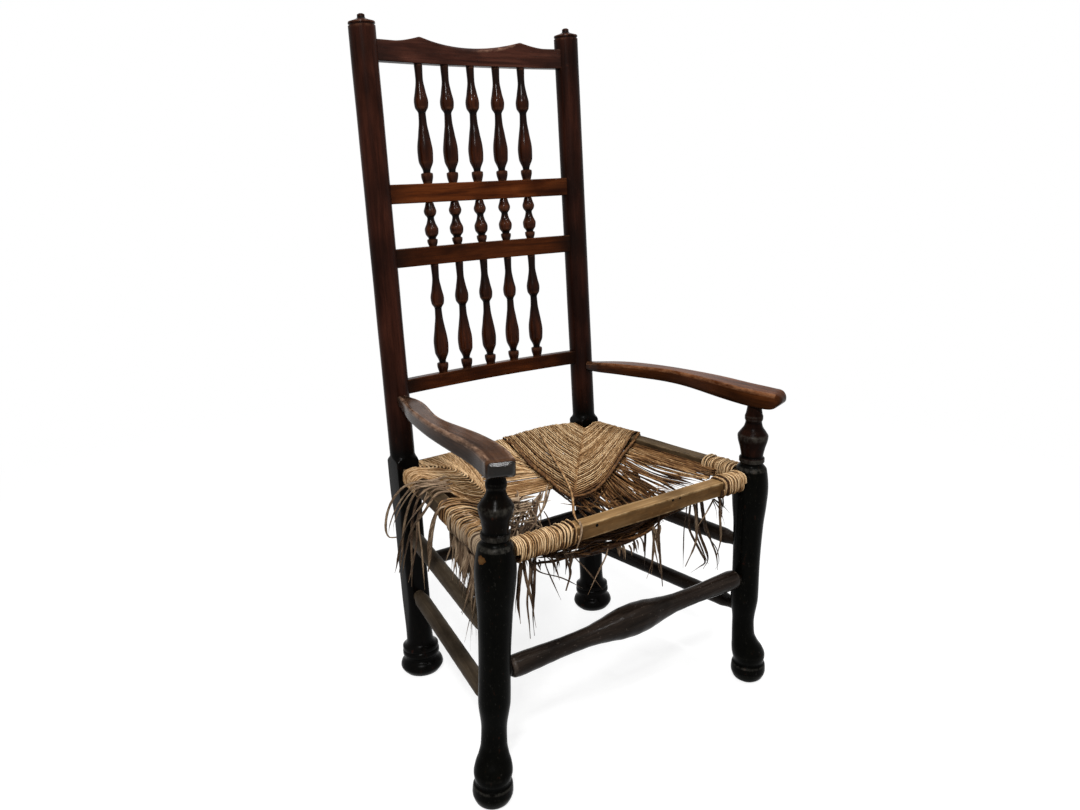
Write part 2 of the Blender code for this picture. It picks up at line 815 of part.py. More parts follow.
def make_stretchers():
    for side, label, left_leg, left_post, lower in (
        (-1, "left", leg_left, post_left, LOWER_LEFT_HEIGHT),
        (1, "right", leg_right, post_right, LOWER_RIGHT_HEIGHT),
    ):
        for level, height in (("upper", UPPER_SIDE_HEIGHT), ("lower", lower)):
            make_stretcher(
                f"{label}_{level}_stretcher",
                leg_axis(side, height),
                post_axis(side, height),
                leg_radius(height),
                post_half(height),
                plain_shape(SIDE_STRETCHER_RADIUS),
                "worn_stretcher",
                (left_leg, left_post),
            )
    height = FRONT_STRETCHER_HEIGHT
    make_stretcher(
        "front_stretcher",
        leg_axis(-1, height),
        leg_axis(1, height),
        leg_radius(height),
        leg_radius(height),
        swollen_shape,
        "dark_stain",
        (leg_left, leg_right),
    )
    height = BACK_STRETCHER_HEIGHT
    make_stretcher(
        "back_stretcher",
        post_axis(-1, height),
        post_axis(1, height),
        post_half(height),
        post_half(height),
        plain_shape(BACK_STRETCHER_RADIUS),
        "dark_stain",
        (post_left, post_right),
    )


class SeatRail:
    """A seat rail between two axis points, with the directions that lie across it and up from it."""

    def __init__(self, start, end, start_radius, end_radius):
        self.start = start
        self.along = (end - start).normalized()
        self.across = self.along.cross(Vector((0.0, 0.0, 1.0))).normalized()
        self.up = self.across.cross(self.along)
        self.low = start_radius
        self.high = (end - start).length - end_radius

    def place(self, distance, across, up):
        return self.start + self.along * distance + self.across * across + self.up * up

    def ring(self, distance, half_width, half_height, chamfer):
        section = chamfered_section(half_width, half_height, chamfer)
        return [self.place(distance, x, z) for x, z in section]

    def bar(self, name, grow, finish):
        """The rail itself, or the room that it takes when grow is the clearance."""
        tenon = SEAT_TENON_HALF + grow
        width, height = SEAT_RAIL_HALF_WIDTH + grow, SEAT_RAIL_HALF_HEIGHT + grow
        reach = SOCKET_DEPTH - CLEARANCE + grow
        neck = SEAT_TENON_HALF / 2
        rings = [
            self.ring(self.low - reach, tenon, tenon, SEAT_RAIL_CHAMFER),
            self.ring(self.low + neck, tenon, tenon, SEAT_RAIL_CHAMFER),
            self.ring(self.low + neck + SEAT_RAIL_TAPER, width, height, SEAT_RAIL_CHAMFER),
            self.ring(self.high - neck - SEAT_RAIL_TAPER, width, height, SEAT_RAIL_CHAMFER),
            self.ring(self.high - neck, tenon, tenon, SEAT_RAIL_CHAMFER),
            self.ring(self.high + reach, tenon, tenon, SEAT_RAIL_CHAMFER),
        ]
        return loft(name, rings, finish, chair)

    def sleeve(self, name, begin, finish_at):
        """Rush laid round the rail between two distances along it."""
        width = SEAT_RAIL_HALF_WIDTH + RUSH_THICKNESS
        height = SEAT_RAIL_HALF_HEIGHT + RUSH_THICKNESS
        rings = [self.ring(distance, width, height, SLEEVE_CHAMFER) for distance in (begin, finish_at)]
        return loft(name, rings, None, chair)

    def winding(self, name, first, turns, forwards):
        """One unbroken strand wound round the rail from its first turn's distance along it."""
        out = WRAP_DIAMETER / 2 + 2 * CLEARANCE
        section = chamfered_section(SEAT_RAIL_HALF_WIDTH + out, SEAT_RAIL_HALF_HEIGHT + out, WRAP_CHAMFER)
        points = []
        for step in range(turns * len(section) + 1):
            across, up = section[step % len(section)]
            travel = WRAP_PITCH * step / len(section)
            points.append(self.place(first + travel if forwards else first - travel, across, up))
        gap = least_gap(points, len(section), WRAP_DIAMETER)
        print(f"{name}: least gap between turns {gap * 1000:.2f} mm")
        return tube(name, points, WRAP_DIAMETER, "rush", chair)


def least_gap(points, per_turn, diameter):
    """Least free space between a strand's own turns, measured on its points."""
    nearest = math.inf
    for i, point in enumerate(points):
        for other in points[i + per_turn // 2 :]:
            nearest = min(nearest, (point - other).length)
    return nearest - diameter


def make_seat_rails():
    front_radius = leg_radius(SEAT_FRONT_HEIGHT)
    rails = {
        "front_seat_rail": SeatRail(
            leg_axis(-1, SEAT_FRONT_HEIGHT), leg_axis(1, SEAT_FRONT_HEIGHT), front_radius, front_radius
        ),
        "back_seat_rail": SeatRail(
            post_axis(-1, BACK_RAIL_HEIGHT), post_axis(1, BACK_RAIL_HEIGHT), BLOCK_HALF, BLOCK_HALF
        ),
    }
    for side, label in ((-1, "left"), (1, "right")):
        front_end = leg_axis(side, SEAT_FRONT_HEIGHT)
        back_end = post_axis(side, SIDE_RAIL_BACK_HEIGHT)
        rails[f"{label}_seat_rail"] = SeatRail(front_end, back_end, front_radius, BLOCK_HALF)
    holders = {
        "front_seat_rail": (leg_left, leg_right),
        "back_seat_rail": (post_left, post_right),
        "left_seat_rail": (leg_left, post_left),
        "right_seat_rail": (leg_right, post_right),
    }
    room = {}
    for name, rail in rails.items():
        rail.bar(name, 0.0, "bare_wood")
        room[name] = rail.bar(name + "_room", CLEARANCE, None)
        for holder in holders[name]:
            cut(holder, room[name])
    return rails, room


def block_room(side):
    """The room that a post's block takes from the rush beside it."""
    half = BLOCK_HALF + 2 * CLEARANCE
    section = chamfered_section(half, half, BLOCK_HALF * BLOCK_ROUND / 2)
    rings = [
        [(side * BACK_HALF_SPACING + x, y, height) for x, y in section]
        for height in (2 * BLOCK_BASE - BLOCK_TOP, 2 * BLOCK_TOP - BLOCK_BASE)
    ]
    return loft(f"block_room_{side}", rings, None, back)


def make_rush_seat(rails, room):
    depth = post_axis(1, BACK_RAIL_HEIGHT).y
    front_half = leg_axis(1, SEAT_FRONT_HEIGHT).x
    back_half = BACK_HALF_SPACING
    outline = []
    for across, along in RUSH_OUTLINE:
        half = front_half + (back_half - front_half) * along
        outline.append((across * half, along * depth))
    rings = [[(x, y, z) for x, y in outline] for z in (SLAB_TOP - SLAB_THICKNESS, SLAB_TOP)]
    seat = loft("rush_seat", rings, "rush", chair)
    back_rail = rails["back_seat_rail"]
    left, right = rails["left_seat_rail"], rails["right_seat_rail"]
    side_length = left.high + BLOCK_HALF
    margin = 4 * CLEARANCE
    join(
        seat,
        back_rail.sleeve("back_sleeve", back_rail.low + margin, back_rail.high - margin),
        left.sleeve("left_sleeve", LEFT_SLEEVE_FROM * side_length, left.high - margin),
        right.sleeve("right_sleeve", RIGHT_SLEEVE_FROM * side_length, right.high - margin),
    )
    cut(seat, room["back_seat_rail"], room["left_seat_rail"], room["right_seat_rail"])
    cut(seat, block_room(-1), block_room(1))
    return seat


def make_windings(rails):
    front = rails["front_seat_rail"]
    span = front.high + front.low
    front.winding("rush_winding_front_left", WRAP_FIRST, FRONT_LEFT_TURNS, True)
    front.winding("rush_winding_front_right", span - WRAP_FIRST, FRONT_RIGHT_TURNS, False)
    rails["left_seat_rail"].winding("rush_winding_left", WRAP_FIRST, LEFT_TURNS, True)
    rails["right_seat_rail"].winding("rush_winding_right", WRAP_FIRST, RIGHT_TURNS, True)


def smooth_route(points):
    """Points at even steps on a smooth curve through the given points."""
    points = [Vector(point) for point in points]
    padded = [2 * points[0] - points[1], *points, 2 * points[-1] - points[-2]]
    route = []
    for before, start, end, after in zip(padded, padded[1:], padded[2:], padded[3:]):
        steps = max(1, round((end - start).length / ROUTE_STEP))
        for step in range(steps):
            t = step / steps
            route.append(
                start
                + 0.5 * t * (end - before)
                + t * t * (before - 2.5 * start + 2 * end - 0.5 * after)
                + t**3 * (1.5 * start - 0.5 * before - 1.5 * end + 0.5 * after)
            )
    route.append(points[-1])
    return route


def make_loose_strands():
    for name, route in STRAND_ROUTES.items():
        tube(name, smooth_route(route), STRAND_DIAMETER, "rush", chair)
    tube("rush_sagging_bundle", smooth_route(BUNDLE_ROUTE), BUNDLE_DIAMETER, "rush", chair)


def stand_on_origin(loose_names):
    """Move the chair so that the middle of its box, loose strands apart, is over the origin."""
    bpy.context.view_layer.update()
    graph = bpy.context.evaluated_depsgraph_get()
    reach = []
    for obj in parts.objects:
        if obj.type == "EMPTY" or obj.name in loose_names:
            continue
        solid = obj.evaluated_get(graph)
        reach += [(obj.matrix_world @ vertex.co).y for vertex in solid.to_mesh().vertices]
        solid.to_mesh_clear()
    chair.location.y = -(min(reach) + max(reach)) / 2
    print(f"chair frame moved by {chair.location.y:.5f} m in y")


clear_scene()
parts = new_collection("spindle_back_armchair")
cutters = new_collection("cutters")
finishes = make_finishes()

chair = add_empty("chair_frame")
back = add_empty("back_frame", chair)
back.location = (0.0, SEAT_DEPTH, 0.0)
back.rotation_euler = (-BACK_RAKE, 0.0, 0.0)

post_left = make_back_post("back_post_left", -1)
post_right = make_back_post("back_post_right", 1)
leg_left = make_front_leg("front_leg_left", -1)
leg_right = make_front_leg("front_leg_right", 1)
floor_cutter = make_floor_cutter()
cut(post_left, floor_cutter)
cut(post_right, floor_cutter)

for side, label, leg, post in ((-1, "left", leg_left, post_left), (1, "right", leg_right, post_right)):
    arm = make_arm(f"arm_{label}", side)
    peg_room = peg_cutter(side)
    cut(arm, leg_tenon_cutter(side), peg_room)
    cut(leg, peg_room)
    make_peg(f"arm_peg_{label}", side)
    shoulder, inside = arm_tenon_ends(side)
    tenon_room = Vector((0.0, CLEARANCE, 0.0))
    ring = rounded_section(*[ARM_TENON_RADIUS + CLEARANCE] * 3, 12)
    ends = (shoulder - Vector((0.0, POST_RADIUS, 0.0)), inside + tenon_room)
    rings = [[(end.x + x, end.y, end.z + z) for x, z in ring] for end in ends]
    cut(post, loft(f"arm_tenon_socket_{label}", rings, None, chair))

even_steps = [rail_half_span() * step / RAIL_STATIONS for step in range(RAIL_STATIONS)]
crest_stations = [CREST_FLAT_FROM - (CREST_FLAT_FROM - CREST_PEAK_AT) * step / 4 for step in range(4)]
crest_stations += [CREST_PEAK_AT * step / 5 for step in range(6)]
crest = make_back_rail("crest_rail", CREST_BASE, crest_height, crest_stations, crest_chamfer)
upper_rail = make_back_rail("upper_cross_rail", UPPER_RAIL_BASE, lambda x: UPPER_RAIL_HEIGHT, even_steps)
middle_rail = make_back_rail("middle_cross_rail", MIDDLE_RAIL_BASE, lambda x: MIDDLE_RAIL_HEIGHT, even_steps)
lower_rail = make_back_rail("lower_cross_rail", LOWER_RAIL_BASE, lambda x: LOWER_RAIL_HEIGHT, even_steps)

upper_top = UPPER_RAIL_BASE + UPPER_RAIL_HEIGHT
middle_top = MIDDLE_RAIL_BASE + MIDDLE_RAIL_HEIGHT
lower_top = LOWER_RAIL_BASE + LOWER_RAIL_HEIGHT
make_spindles("top", LONG_SPINDLE, crest, CREST_BASE, upper_rail, upper_top)
make_spindles("middle", SHORT_SPINDLE, upper_rail, UPPER_RAIL_BASE, middle_rail, middle_top)
make_spindles("bottom", LONG_SPINDLE, middle_rail, MIDDLE_RAIL_BASE, lower_rail, lower_top)

make_stretchers()
seat_rails, rail_room = make_seat_rails()
make_rush_seat(seat_rails, rail_room)
make_windings(seat_rails)
make_loose_strands()
stand_on_origin({*STRAND_ROUTES, "rush_sagging_bundle"})
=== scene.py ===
"""Dresses the spindle back armchair: smooth turned wood with wear, and the torn rush seat strand by strand.

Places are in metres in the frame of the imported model. Plan positions written here count y from the
front legs' axis, and at() moves them into the frame. Heights in the back run along the leaning posts.
"""

import math

import bpy
import numpy as np
from mathutils import Matrix, Vector


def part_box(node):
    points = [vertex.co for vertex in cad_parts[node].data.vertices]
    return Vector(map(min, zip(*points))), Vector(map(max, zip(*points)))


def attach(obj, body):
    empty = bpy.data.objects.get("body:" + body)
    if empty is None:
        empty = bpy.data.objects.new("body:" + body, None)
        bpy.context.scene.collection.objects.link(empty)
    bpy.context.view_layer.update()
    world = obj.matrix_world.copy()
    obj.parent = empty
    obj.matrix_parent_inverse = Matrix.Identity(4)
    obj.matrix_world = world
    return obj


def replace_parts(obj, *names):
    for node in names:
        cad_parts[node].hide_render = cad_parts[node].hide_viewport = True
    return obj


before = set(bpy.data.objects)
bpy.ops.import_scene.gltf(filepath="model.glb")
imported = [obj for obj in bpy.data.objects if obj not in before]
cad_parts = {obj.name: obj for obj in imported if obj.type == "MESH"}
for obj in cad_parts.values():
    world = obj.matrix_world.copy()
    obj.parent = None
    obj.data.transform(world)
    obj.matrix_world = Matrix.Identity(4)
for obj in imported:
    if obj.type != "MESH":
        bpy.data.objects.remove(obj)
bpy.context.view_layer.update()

# Plan of the frame, as in the part's source
FRONT_Y = sum(corner.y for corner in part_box("front_seat_rail")) / 2
BACK_HALF_SPACING = 0.2010
FOOT_HALF_SPACING = 0.2664
LEG_LEAN_IN = 0.0275
SEAT_DEPTH = 0.3557
BACK_RAKE = math.radians(5.6)
POST_RADIUS = 0.0218
POST_BASE_RADIUS = 0.0265

# Back rails; a cross rail has its lower edge, as a height along the posts, and its own height
RAIL_THICKNESS = 0.018
RAIL_BOW = 0.012
RAIL_TENON = 0.012
RAIL_ROUND = 0.0016
RAIL_CHAMFER = 0.0008
CREST_BASE = 1.0691
CREST_END_HEIGHT = 0.0330
CREST_PEAK_HEIGHT = 0.0420
CREST_DIP_HEIGHT = 0.0295
CREST_PEAK_AT = 0.100
CREST_FLAT_FROM = 0.148
CREST_CHAMFER = 0.0050
CROSS_RAILS = {
    "upper_cross_rail": (0.8435, 0.0317),
    "middle_cross_rail": (0.7380, 0.0312),
    "lower_cross_rail": (0.5208, 0.0251),
}

# Seat rails
SEAT_FRONT_HEIGHT = 0.3950
SIDE_RAIL_BACK_HEIGHT = 0.3850
BACK_RAIL_HEIGHT = 0.3800
SEAT_RAIL_HALF_WIDTH = 0.0120
SEAT_RAIL_HALF_HEIGHT = 0.0115
SEAT_RAIL_ROUND = 0.0014
SEAT_TENON_HALF = 0.0065
SEAT_TENON_LENGTH = 0.017
SEAT_SHOULDER = 0.009

# Camera that took the photograph, in plan from the front legs' axis; the photograph is 1080 by 810
CAMERA_PLACE = (-0.83446, -0.94535, 0.96030)
CAMERA_YAW = math.radians(34.70)
CAMERA_PITCH = math.radians(17.37)
CAMERA_ROLL = math.radians(0.113)
PHOTO_WIDTH = 1080
FOCAL_PIXELS = 884.159
SENSOR_WIDTH = 36.0

# Smoothness of the dressed pieces
TURNING_SIDES = 40
PROFILE_STEP = 0.0016
STRAND_SIDES = 8
STRAND_SHARP = 75

UP = np.array((0.0, 0.0, 1.0))
DOWN = -UP


def at(x, y, z):
    """A plan position counted from the front legs' axis, in the frame."""
    return np.array((x, y + FRONT_Y, z))


def back_point(x, y, height):
    """A point of the leaning back: x, depth behind the posts' plane, height along the posts."""
    c, s = math.cos(BACK_RAKE), math.sin(BACK_RAKE)
    return np.array((x, SEAT_DEPTH + FRONT_Y + y * c + height * s, height * c - y * s))


def back_local(points):
    """The inverse of back_point for an array of points."""
    c, s = math.cos(BACK_RAKE), math.sin(BACK_RAKE)
    y = points[:, 1] - SEAT_DEPTH - FRONT_Y
    z = points[:, 2]
    return np.stack((points[:, 0], y * c - z * s, y * s + z * c), axis=1)


def leg_axis(side, height):
    """A front leg's middle at a height; side is -1 on the left and 1 on the right."""
    return at(side * (FOOT_HALF_SPACING - LEG_LEAN_IN * height), 0.0, height)


def post_axis(side, height):
    """A back post's middle at a height."""
    return at(side * BACK_HALF_SPACING, SEAT_DEPTH + height * math.tan(BACK_RAKE), height)


def unit(vector):
    return vector / np.linalg.norm(vector)


def rng_for(name):
    """A random source that is the same in every run."""
    return np.random.default_rng(sum(ord(letter) * (i + 1) for i, letter in enumerate(name)))


# Materials

BUMP_DEPTH = 0.0006
# The colour of the painted shade in the crevices between rush strands
CREVICE_SHADE_COLOUR = (0.018, 0.007, 0.003, 1.0)
RUSH_GLOSS = 0.08
WHITE = (1.0, 1.0, 1.0, 1.0)


class Nodes:
    """Builds shader nodes in a tree."""

    def __init__(self, tree):
        self.tree = tree

    def node(self, kind, inputs=None, **settings):
        made = self.tree.nodes.new(kind)
        for key, value in settings.items():
            setattr(made, key, value)
        for key, value in (inputs or {}).items():
            self.feed(made.inputs[key], value)
        return made

    def feed(self, socket, value):
        if isinstance(value, bpy.types.NodeSocket):
            self.tree.links.new(value, socket)
        else:
            socket.default_value = value

    def attribute(self, name, output):
        return self.node("ShaderNodeAttribute", attribute_name=name).outputs[output]

    def noise(self, vector, stretch, scale, detail, roughness, distortion=0.0):
        """Noise over a vector whose parts are stretched first."""
        settings = {
            "Vector": self.node("ShaderNodeMapping", {"Vector": vector, "Scale": stretch}).outputs["Vector"],
            "Scale": scale,
            "Detail": detail,
            "Roughness": roughness,
            "Distortion": distortion,
        }
        return self.node("ShaderNodeTexNoise", settings).outputs["Fac"]

    def remap(self, value, low, high, to_low=0.0, to_high=1.0):
        limits = {"From Min": low, "From Max": high, "To Min": to_low, "To Max": to_high}
        return self.node("ShaderNodeMapRange", {"Value": value, **limits}).outputs["Result"]

    def math(self, operation, first, second=0.0):
        return self.node("ShaderNodeMath", {0: first, 1: second}, operation=operation).outputs[0]

    def mix(self, factor, first, second):
        return self.node("ShaderNodeMix", {0: factor, 6: first, 7: second}, data_type="RGBA").outputs[2]

    def ramp(self, factor, *stops):
        made = self.node("ShaderNodeValToRGB", {"Fac": factor})
        band = made.color_ramp
        while len(band.elements) < len(stops):
            band.elements.new(1.0)
        for element, (place, colour) in zip(band.elements, stops):
            element.position = place
            element.color = rgba(colour)
        return made.outputs["Color"]

    def bump(self, height, strength):
        inputs = {"Height": height, "Strength": strength, "Distance": BUMP_DEPTH}
        return self.node("ShaderNodeBump", inputs).outputs["Normal"]

    def seen_directly(self):
        """1 for rays that show the background: from the camera, a reflection or glass."""
        path = self.node("ShaderNodeLightPath").outputs
        either = self.math("MAXIMUM", path["Is Camera Ray"], path["Is Glossy Ray"])
        return self.math("MAXIMUM", either, path["Is Transmission Ray"])


class Shader(Nodes):
    """A material under construction."""

    def __init__(self, name):
        self.material = bpy.data.materials.new(name)
        self.material.use_nodes = True
        super().__init__(self.material.node_tree)
        self.surface = self.tree.nodes["Principled BSDF"]

    def finish(self, **sockets):
        for name, value in sockets.items():
            self.feed(self.surface.inputs[name.replace("_", " ")], value)
        return self.material


def rgba(colour, share=1.0):
    """A share of a colour, opaque."""
    return (*(share * part for part in colour), 1.0)


def wood(name, dark, middle, light, wear_and_highlight, black, rough, gloss, wear=0.5, speckle=0.0, crack=0.0, polish=1.0):
    """Polished or weathered wood. Colours run from the grain's dark lines to its light ones.

    The grain attribute holds place with z along the fibres. edge is 1 on edges marked by wear and -1 in
    hollows; on the crest's chamfered hollow and the legs' rings and shoulders the edge colour is also a
    painted highlight and sheen. The stain attribute is 1 where the wood is stained black, and on some rails,
    posts and arms it also carries painted shade; where it is high the wood is glossier by polish. speckle is
    the strength of small chips and crack that of splits along the grain.
    """
    shader = Shader(name)
    grain = shader.attribute("grain", "Vector")
    edge = shader.attribute("edge", "Fac")
    stain_and_shade = shader.attribute("stain_and_shade", "Fac")

    def fibres(lengthwise, *settings):
        return shader.noise(grain, (1.0, 1.0, lengthwise), *settings)

    figure = fibres(0.06, 110.0, 5.0, 0.62, 0.8)
    pores = fibres(0.035, 640.0, 2.0, 0.5)
    cloud = fibres(0.45, 24.0, 3.0, 0.5)
    patch = fibres(0.5, 120.0, 6.0, 0.68)
    colour = shader.ramp(figure, (0.25, dark), (0.50, middle), (0.78, light))
    colour = shader.mix(shader.remap(pores, 0.55, 0.66, 0.0, 0.35), colour, rgba(dark))
    colour = shader.mix(shader.remap(cloud, 0.44, 0.66, 0.0, 0.75), colour, rgba(dark, 0.6))
    stain_and_shade_colour = shader.ramp(patch, (0.40, black), (0.62, [2.0 * part for part in black]), (0.74, middle))
    colour = shader.mix(stain_and_shade, colour, stain_and_shade_colour)
    wear_and_highlight_mask = shader.math("MULTIPLY", shader.remap(edge, 0.30, 0.95), shader.remap(patch, 0.38, 0.62))
    colour = shader.mix(shader.math("MULTIPLY", wear_and_highlight_mask, wear), colour, rgba(wear_and_highlight))
    colour = shader.mix(shader.remap(edge, -0.1, -0.8, 0.0, 0.85), colour, rgba(black, 0.5))
    height = shader.math("ADD", shader.math("MULTIPLY", pores, 0.45), shader.math("MULTIPLY", patch, 0.8))
    if speckle:
        chips = shader.remap(fibres(0.6, 260.0, 3.0, 0.7), 0.63, 0.70, 0.0, speckle)
        colour = shader.mix(chips, colour, rgba(wear_and_highlight))
        height = shader.math("SUBTRACT", height, chips)
    if crack:
        line = shader.math("SUBTRACT", fibres(0.03, 150.0, 2.0, 0.5, 0.3), 0.43)
        split = shader.remap(shader.math("ABSOLUTE", line), 0.006, 0.0, 0.0, crack)
        colour = shader.mix(split, colour, rgba(black, 0.4))
        height = shader.math("SUBTRACT", height, split)
    return shader.finish(
        Base_Color=colour,
        Roughness=shader.remap(cloud, 0.3, 0.7, rough - 0.06, rough + 0.10),
        Normal=shader.bump(height, 0.30),
        Specular_IOR_Level=gloss if polish == 1 else shader.remap(stain_and_shade, 0.6, 0.9, gloss, polish * gloss),
    )


def rush_material(name, *colours):
    """Dry rush.

    tone picks one of the colours, dark to straw, fibre holds place on the strand, wound about its axis, and
    shade is painted shade, 0 in the crevices between strands.
    """
    shader = Shader(name)
    tone = shader.attribute("tone", "Fac")
    shade = shader.attribute("shade", "Fac")
    fibre = shader.attribute("fibre", "Vector")
    streak = shader.noise(fibre, (1.0, 1.0, 20.0), 1.7, 4.0, 0.65)
    blotch = shader.noise(fibre, (0.2, 0.2, 34.0), 1.0, 3.0, 0.6)
    lightness = shader.math("ADD", tone, shader.remap(streak, 0.25, 0.75, -0.44, 0.44))
    lightness = shader.math("ADD", lightness, shader.remap(blotch, 0.3, 0.7, -0.20, 0.20))
    colour = shader.ramp(lightness, *zip((0.0, 0.25, 0.5, 0.75, 1.0), colours))
    return shader.finish(
        Base_Color=shader.mix(shade, CREVICE_SHADE_COLOUR, colour),
        Roughness=shader.remap(streak, 0.3, 0.7, 0.50, 0.74),
        Normal=shader.bump(streak, 0.5),
        Specular_IOR_Level=RUSH_GLOSS,
    )


# Wood pieces


def link(name, data):
    """A scene object with the given data."""
    made = bpy.data.objects.new(name, data)
    bpy.context.scene.collection.objects.link(made)
    return made


def add_piece(name, points, faces, attributes, material, sharp=42.0):
    """Make a mesh piece that rides with the chair; sharp is the least angle of a hard edge, in degrees."""
    mesh = bpy.data.meshes.new(name)
    mesh.from_pydata(np.asarray(points).tolist(), [], faces)
    for key, values in attributes.items():
        values = np.asarray(values, np.float32)
        kind, field = ("FLOAT_VECTOR", "vector") if values.ndim == 2 else ("FLOAT", "value")
        mesh.attributes.new(key, kind, "POINT").data.foreach_set(field, values.ravel())
    mesh.polygons.foreach_set("use_smooth", [True] * len(mesh.polygons))
    mesh.set_sharp_from_angle(angle=math.radians(sharp))
    mesh.materials.append(material)
    mesh.update()
    piece = link(name, mesh)
    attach(piece, "root")
    return piece


def add_wood(name, count, points, grain, edge, stain_and_shade, material, sharp=42.0):
    """Skin a count of equal rings of points as a wooden piece; edge and stain are as in wood()."""
    points = np.reshape(points, (-1, 3))
    attributes = {"grain": np.reshape(grain, (-1, 3)), "edge": np.ravel(edge), "stain_and_shade": np.ravel(stain_and_shade)}
    return add_piece(name, points, skin_faces(count, len(points) // count), attributes, material, sharp)


def grain_start(rng):
    """Where in the grain a piece was cut."""
    return rng.uniform(-5, 5, 3)


def skin_faces(rings, around, first=0):
    """Quads between successive rings of a tube, and a cap at each end."""
    faces = []
    for ring in range(rings - 1):
        low = first + ring * around
        for i in range(around):
            j = (i + 1) % around
            faces.append((low + i, low + j, low + around + j, low + around + i))
    faces.append(tuple(first + i for i in reversed(range(around))))
    faces.append(tuple(first + (rings - 1) * around + i for i in range(around)))
    return faces


def node_points(node):
    """A CAD node's own points, each once."""
    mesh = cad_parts[node].data
    points = np.empty(len(mesh.vertices) * 3, np.float32)
    mesh.vertices.foreach_get("co", points)
    return np.unique(points.reshape(-1, 3).round(6).astype(float), axis=0)


def groups_along(points, values, least):
    """Lists of points that share a value, such as a height, sorted by it."""
    order = np.argsort(values)
    points, values = points[order], values[order]
    breaks = np.flatnonzero(np.diff(values) > 0.00004) + 1
    found = zip(np.split(values, breaks), np.split(points, breaks))
    return [(group.mean(), members) for group, members in found if len(members) >= least]


def monotone(x, y, samples):
    """Smooth interpolation of y over x that never overshoots."""
    x, y = np.asarray(x, float), np.asarray(y, float)
    flat = y.ndim == 1
    y = y.reshape(len(x), -1)
    step = np.diff(x)[:, None]
    slope = np.diff(y, axis=0) / step
    tangent = np.zeros_like(y)
    tangent[0], tangent[-1] = slope[0], slope[-1]
    before, after = slope[:-1], slope[1:]
    same = before * after > 0
    total = np.where(same, before + after, 1.0)
    tangent[1:-1] = np.where(same, 2 * before * after / np.where(total == 0, 1.0, total), 0.0)
    index = np.clip(np.searchsorted(x, samples, side="right") - 1, 0, len(x) - 2)
    width = step[index]
    t = ((samples - x[index]) / width[:, 0])[:, None]
    value = (
        (2 * t**3 - 3 * t**2 + 1) * y[index]
        + (t**3 - 2 * t**2 + t) * width * tangent[index]
        + (3 * t**2 - 2 * t**3) * y[index + 1]
        + (t**3 - t**2) * width * tangent[index + 1]
    )
    return value[:, 0] if flat else value


def spline(x, y, samples):
    """Natural cubic interpolation of the columns of y over x."""
    x, y = np.asarray(x, float), np.asarray(y, float)
    step = np.diff(x)
    slope = np.diff(y, axis=0) / step[:, None]
    system, right = np.eye(len(x)), np.zeros_like(y)
    for i in range(1, len(x) - 1):
        system[i, i - 1 : i + 2] = step[i - 1], 2 * (step[i - 1] + step[i]), step[i]
        right[i] = 6 * (slope[i] - slope[i - 1])
    bend = np.linalg.solve(system, right)
    i = np.clip(np.searchsorted(x, samples, side="right") - 1, 0, len(x) - 2)
    h, before, after = step[i][:, None], (samples - x[i])[:, None], (x[i + 1] - samples)[:, None]
    value = bend[i] * after**3 / (6 * h) + bend[i + 1] * before**3 / (6 * h)
    value += (y[i] / h - bend[i] * h / 6) * after + (y[i + 1] / h - bend[i + 1] * h / 6) * before
    return value


def samples_over(marks, step):
    """The given places and even steps between them."""
    places = []
    for low, high in zip(marks, marks[1:]):
        count = max(1, int(math.ceil((high - low) / step)))
        places += [low + (high - low) * i / count for i in range(count)]
    return np.array(places + [marks[-1]])


def edge_of(places, radii):
    """1 where a profile stands proud of its surroundings and -1 in its hollows."""
    score = np.zeros(len(places))
    for reach, scale in ((0.0016, 0.00045), (0.0045, 0.0016)):
        around = np.interp(places - reach, places, radii) + np.interp(places + reach, places, radii)
        score = np.maximum(score, 0) + (radii - around / 2) / scale
    return np.clip(score, -1.0, 1.0)


def turned_profile(node, origin, axis):
    """Places along the axis and radii of a turned CAD node, with its square shoulders as double places."""
    points = node_points(node)
    offset = points - origin
    along = offset @ axis
    away = np.linalg.norm(offset - np.outer(along, axis), axis=1)
    places, radii = [], []
    for place, members in groups_along(np.stack((along, away), axis=1), along, 6):
        sizes = np.sort(members[:, 1])
        steps = np.split(sizes, np.flatnonzero(np.diff(sizes) > 0.0002) + 1)
        levels = [part.max() for part in steps if len(part) >= 6]
        if place > along.mean():
            levels.reverse()
        for level in levels:
            places.append(place)
            radii.append(level)
    return np.array(places), np.array(radii)


def smooth_turning(places, radii):
    """A fine profile through the CAD rings; a double place stays a square shoulder."""
    fine_places, fine_radii = [], []
    stops = np.flatnonzero(np.diff(places) < 0.00005) + 1
    for low, high in zip(np.split(places, stops), np.split(radii, stops)):
        if len(low) == 1:
            fine_places.append(low)
            fine_radii.append(high)
            continue
        fine = samples_over(low, PROFILE_STEP)
        fine_places.append(fine)
        fine_radii.append(monotone(low, high, fine))
    return np.concatenate(fine_places), np.concatenate(fine_radii)


def ring_angles(count):
    return np.linspace(0, 2 * math.pi, count, endpoint=False)


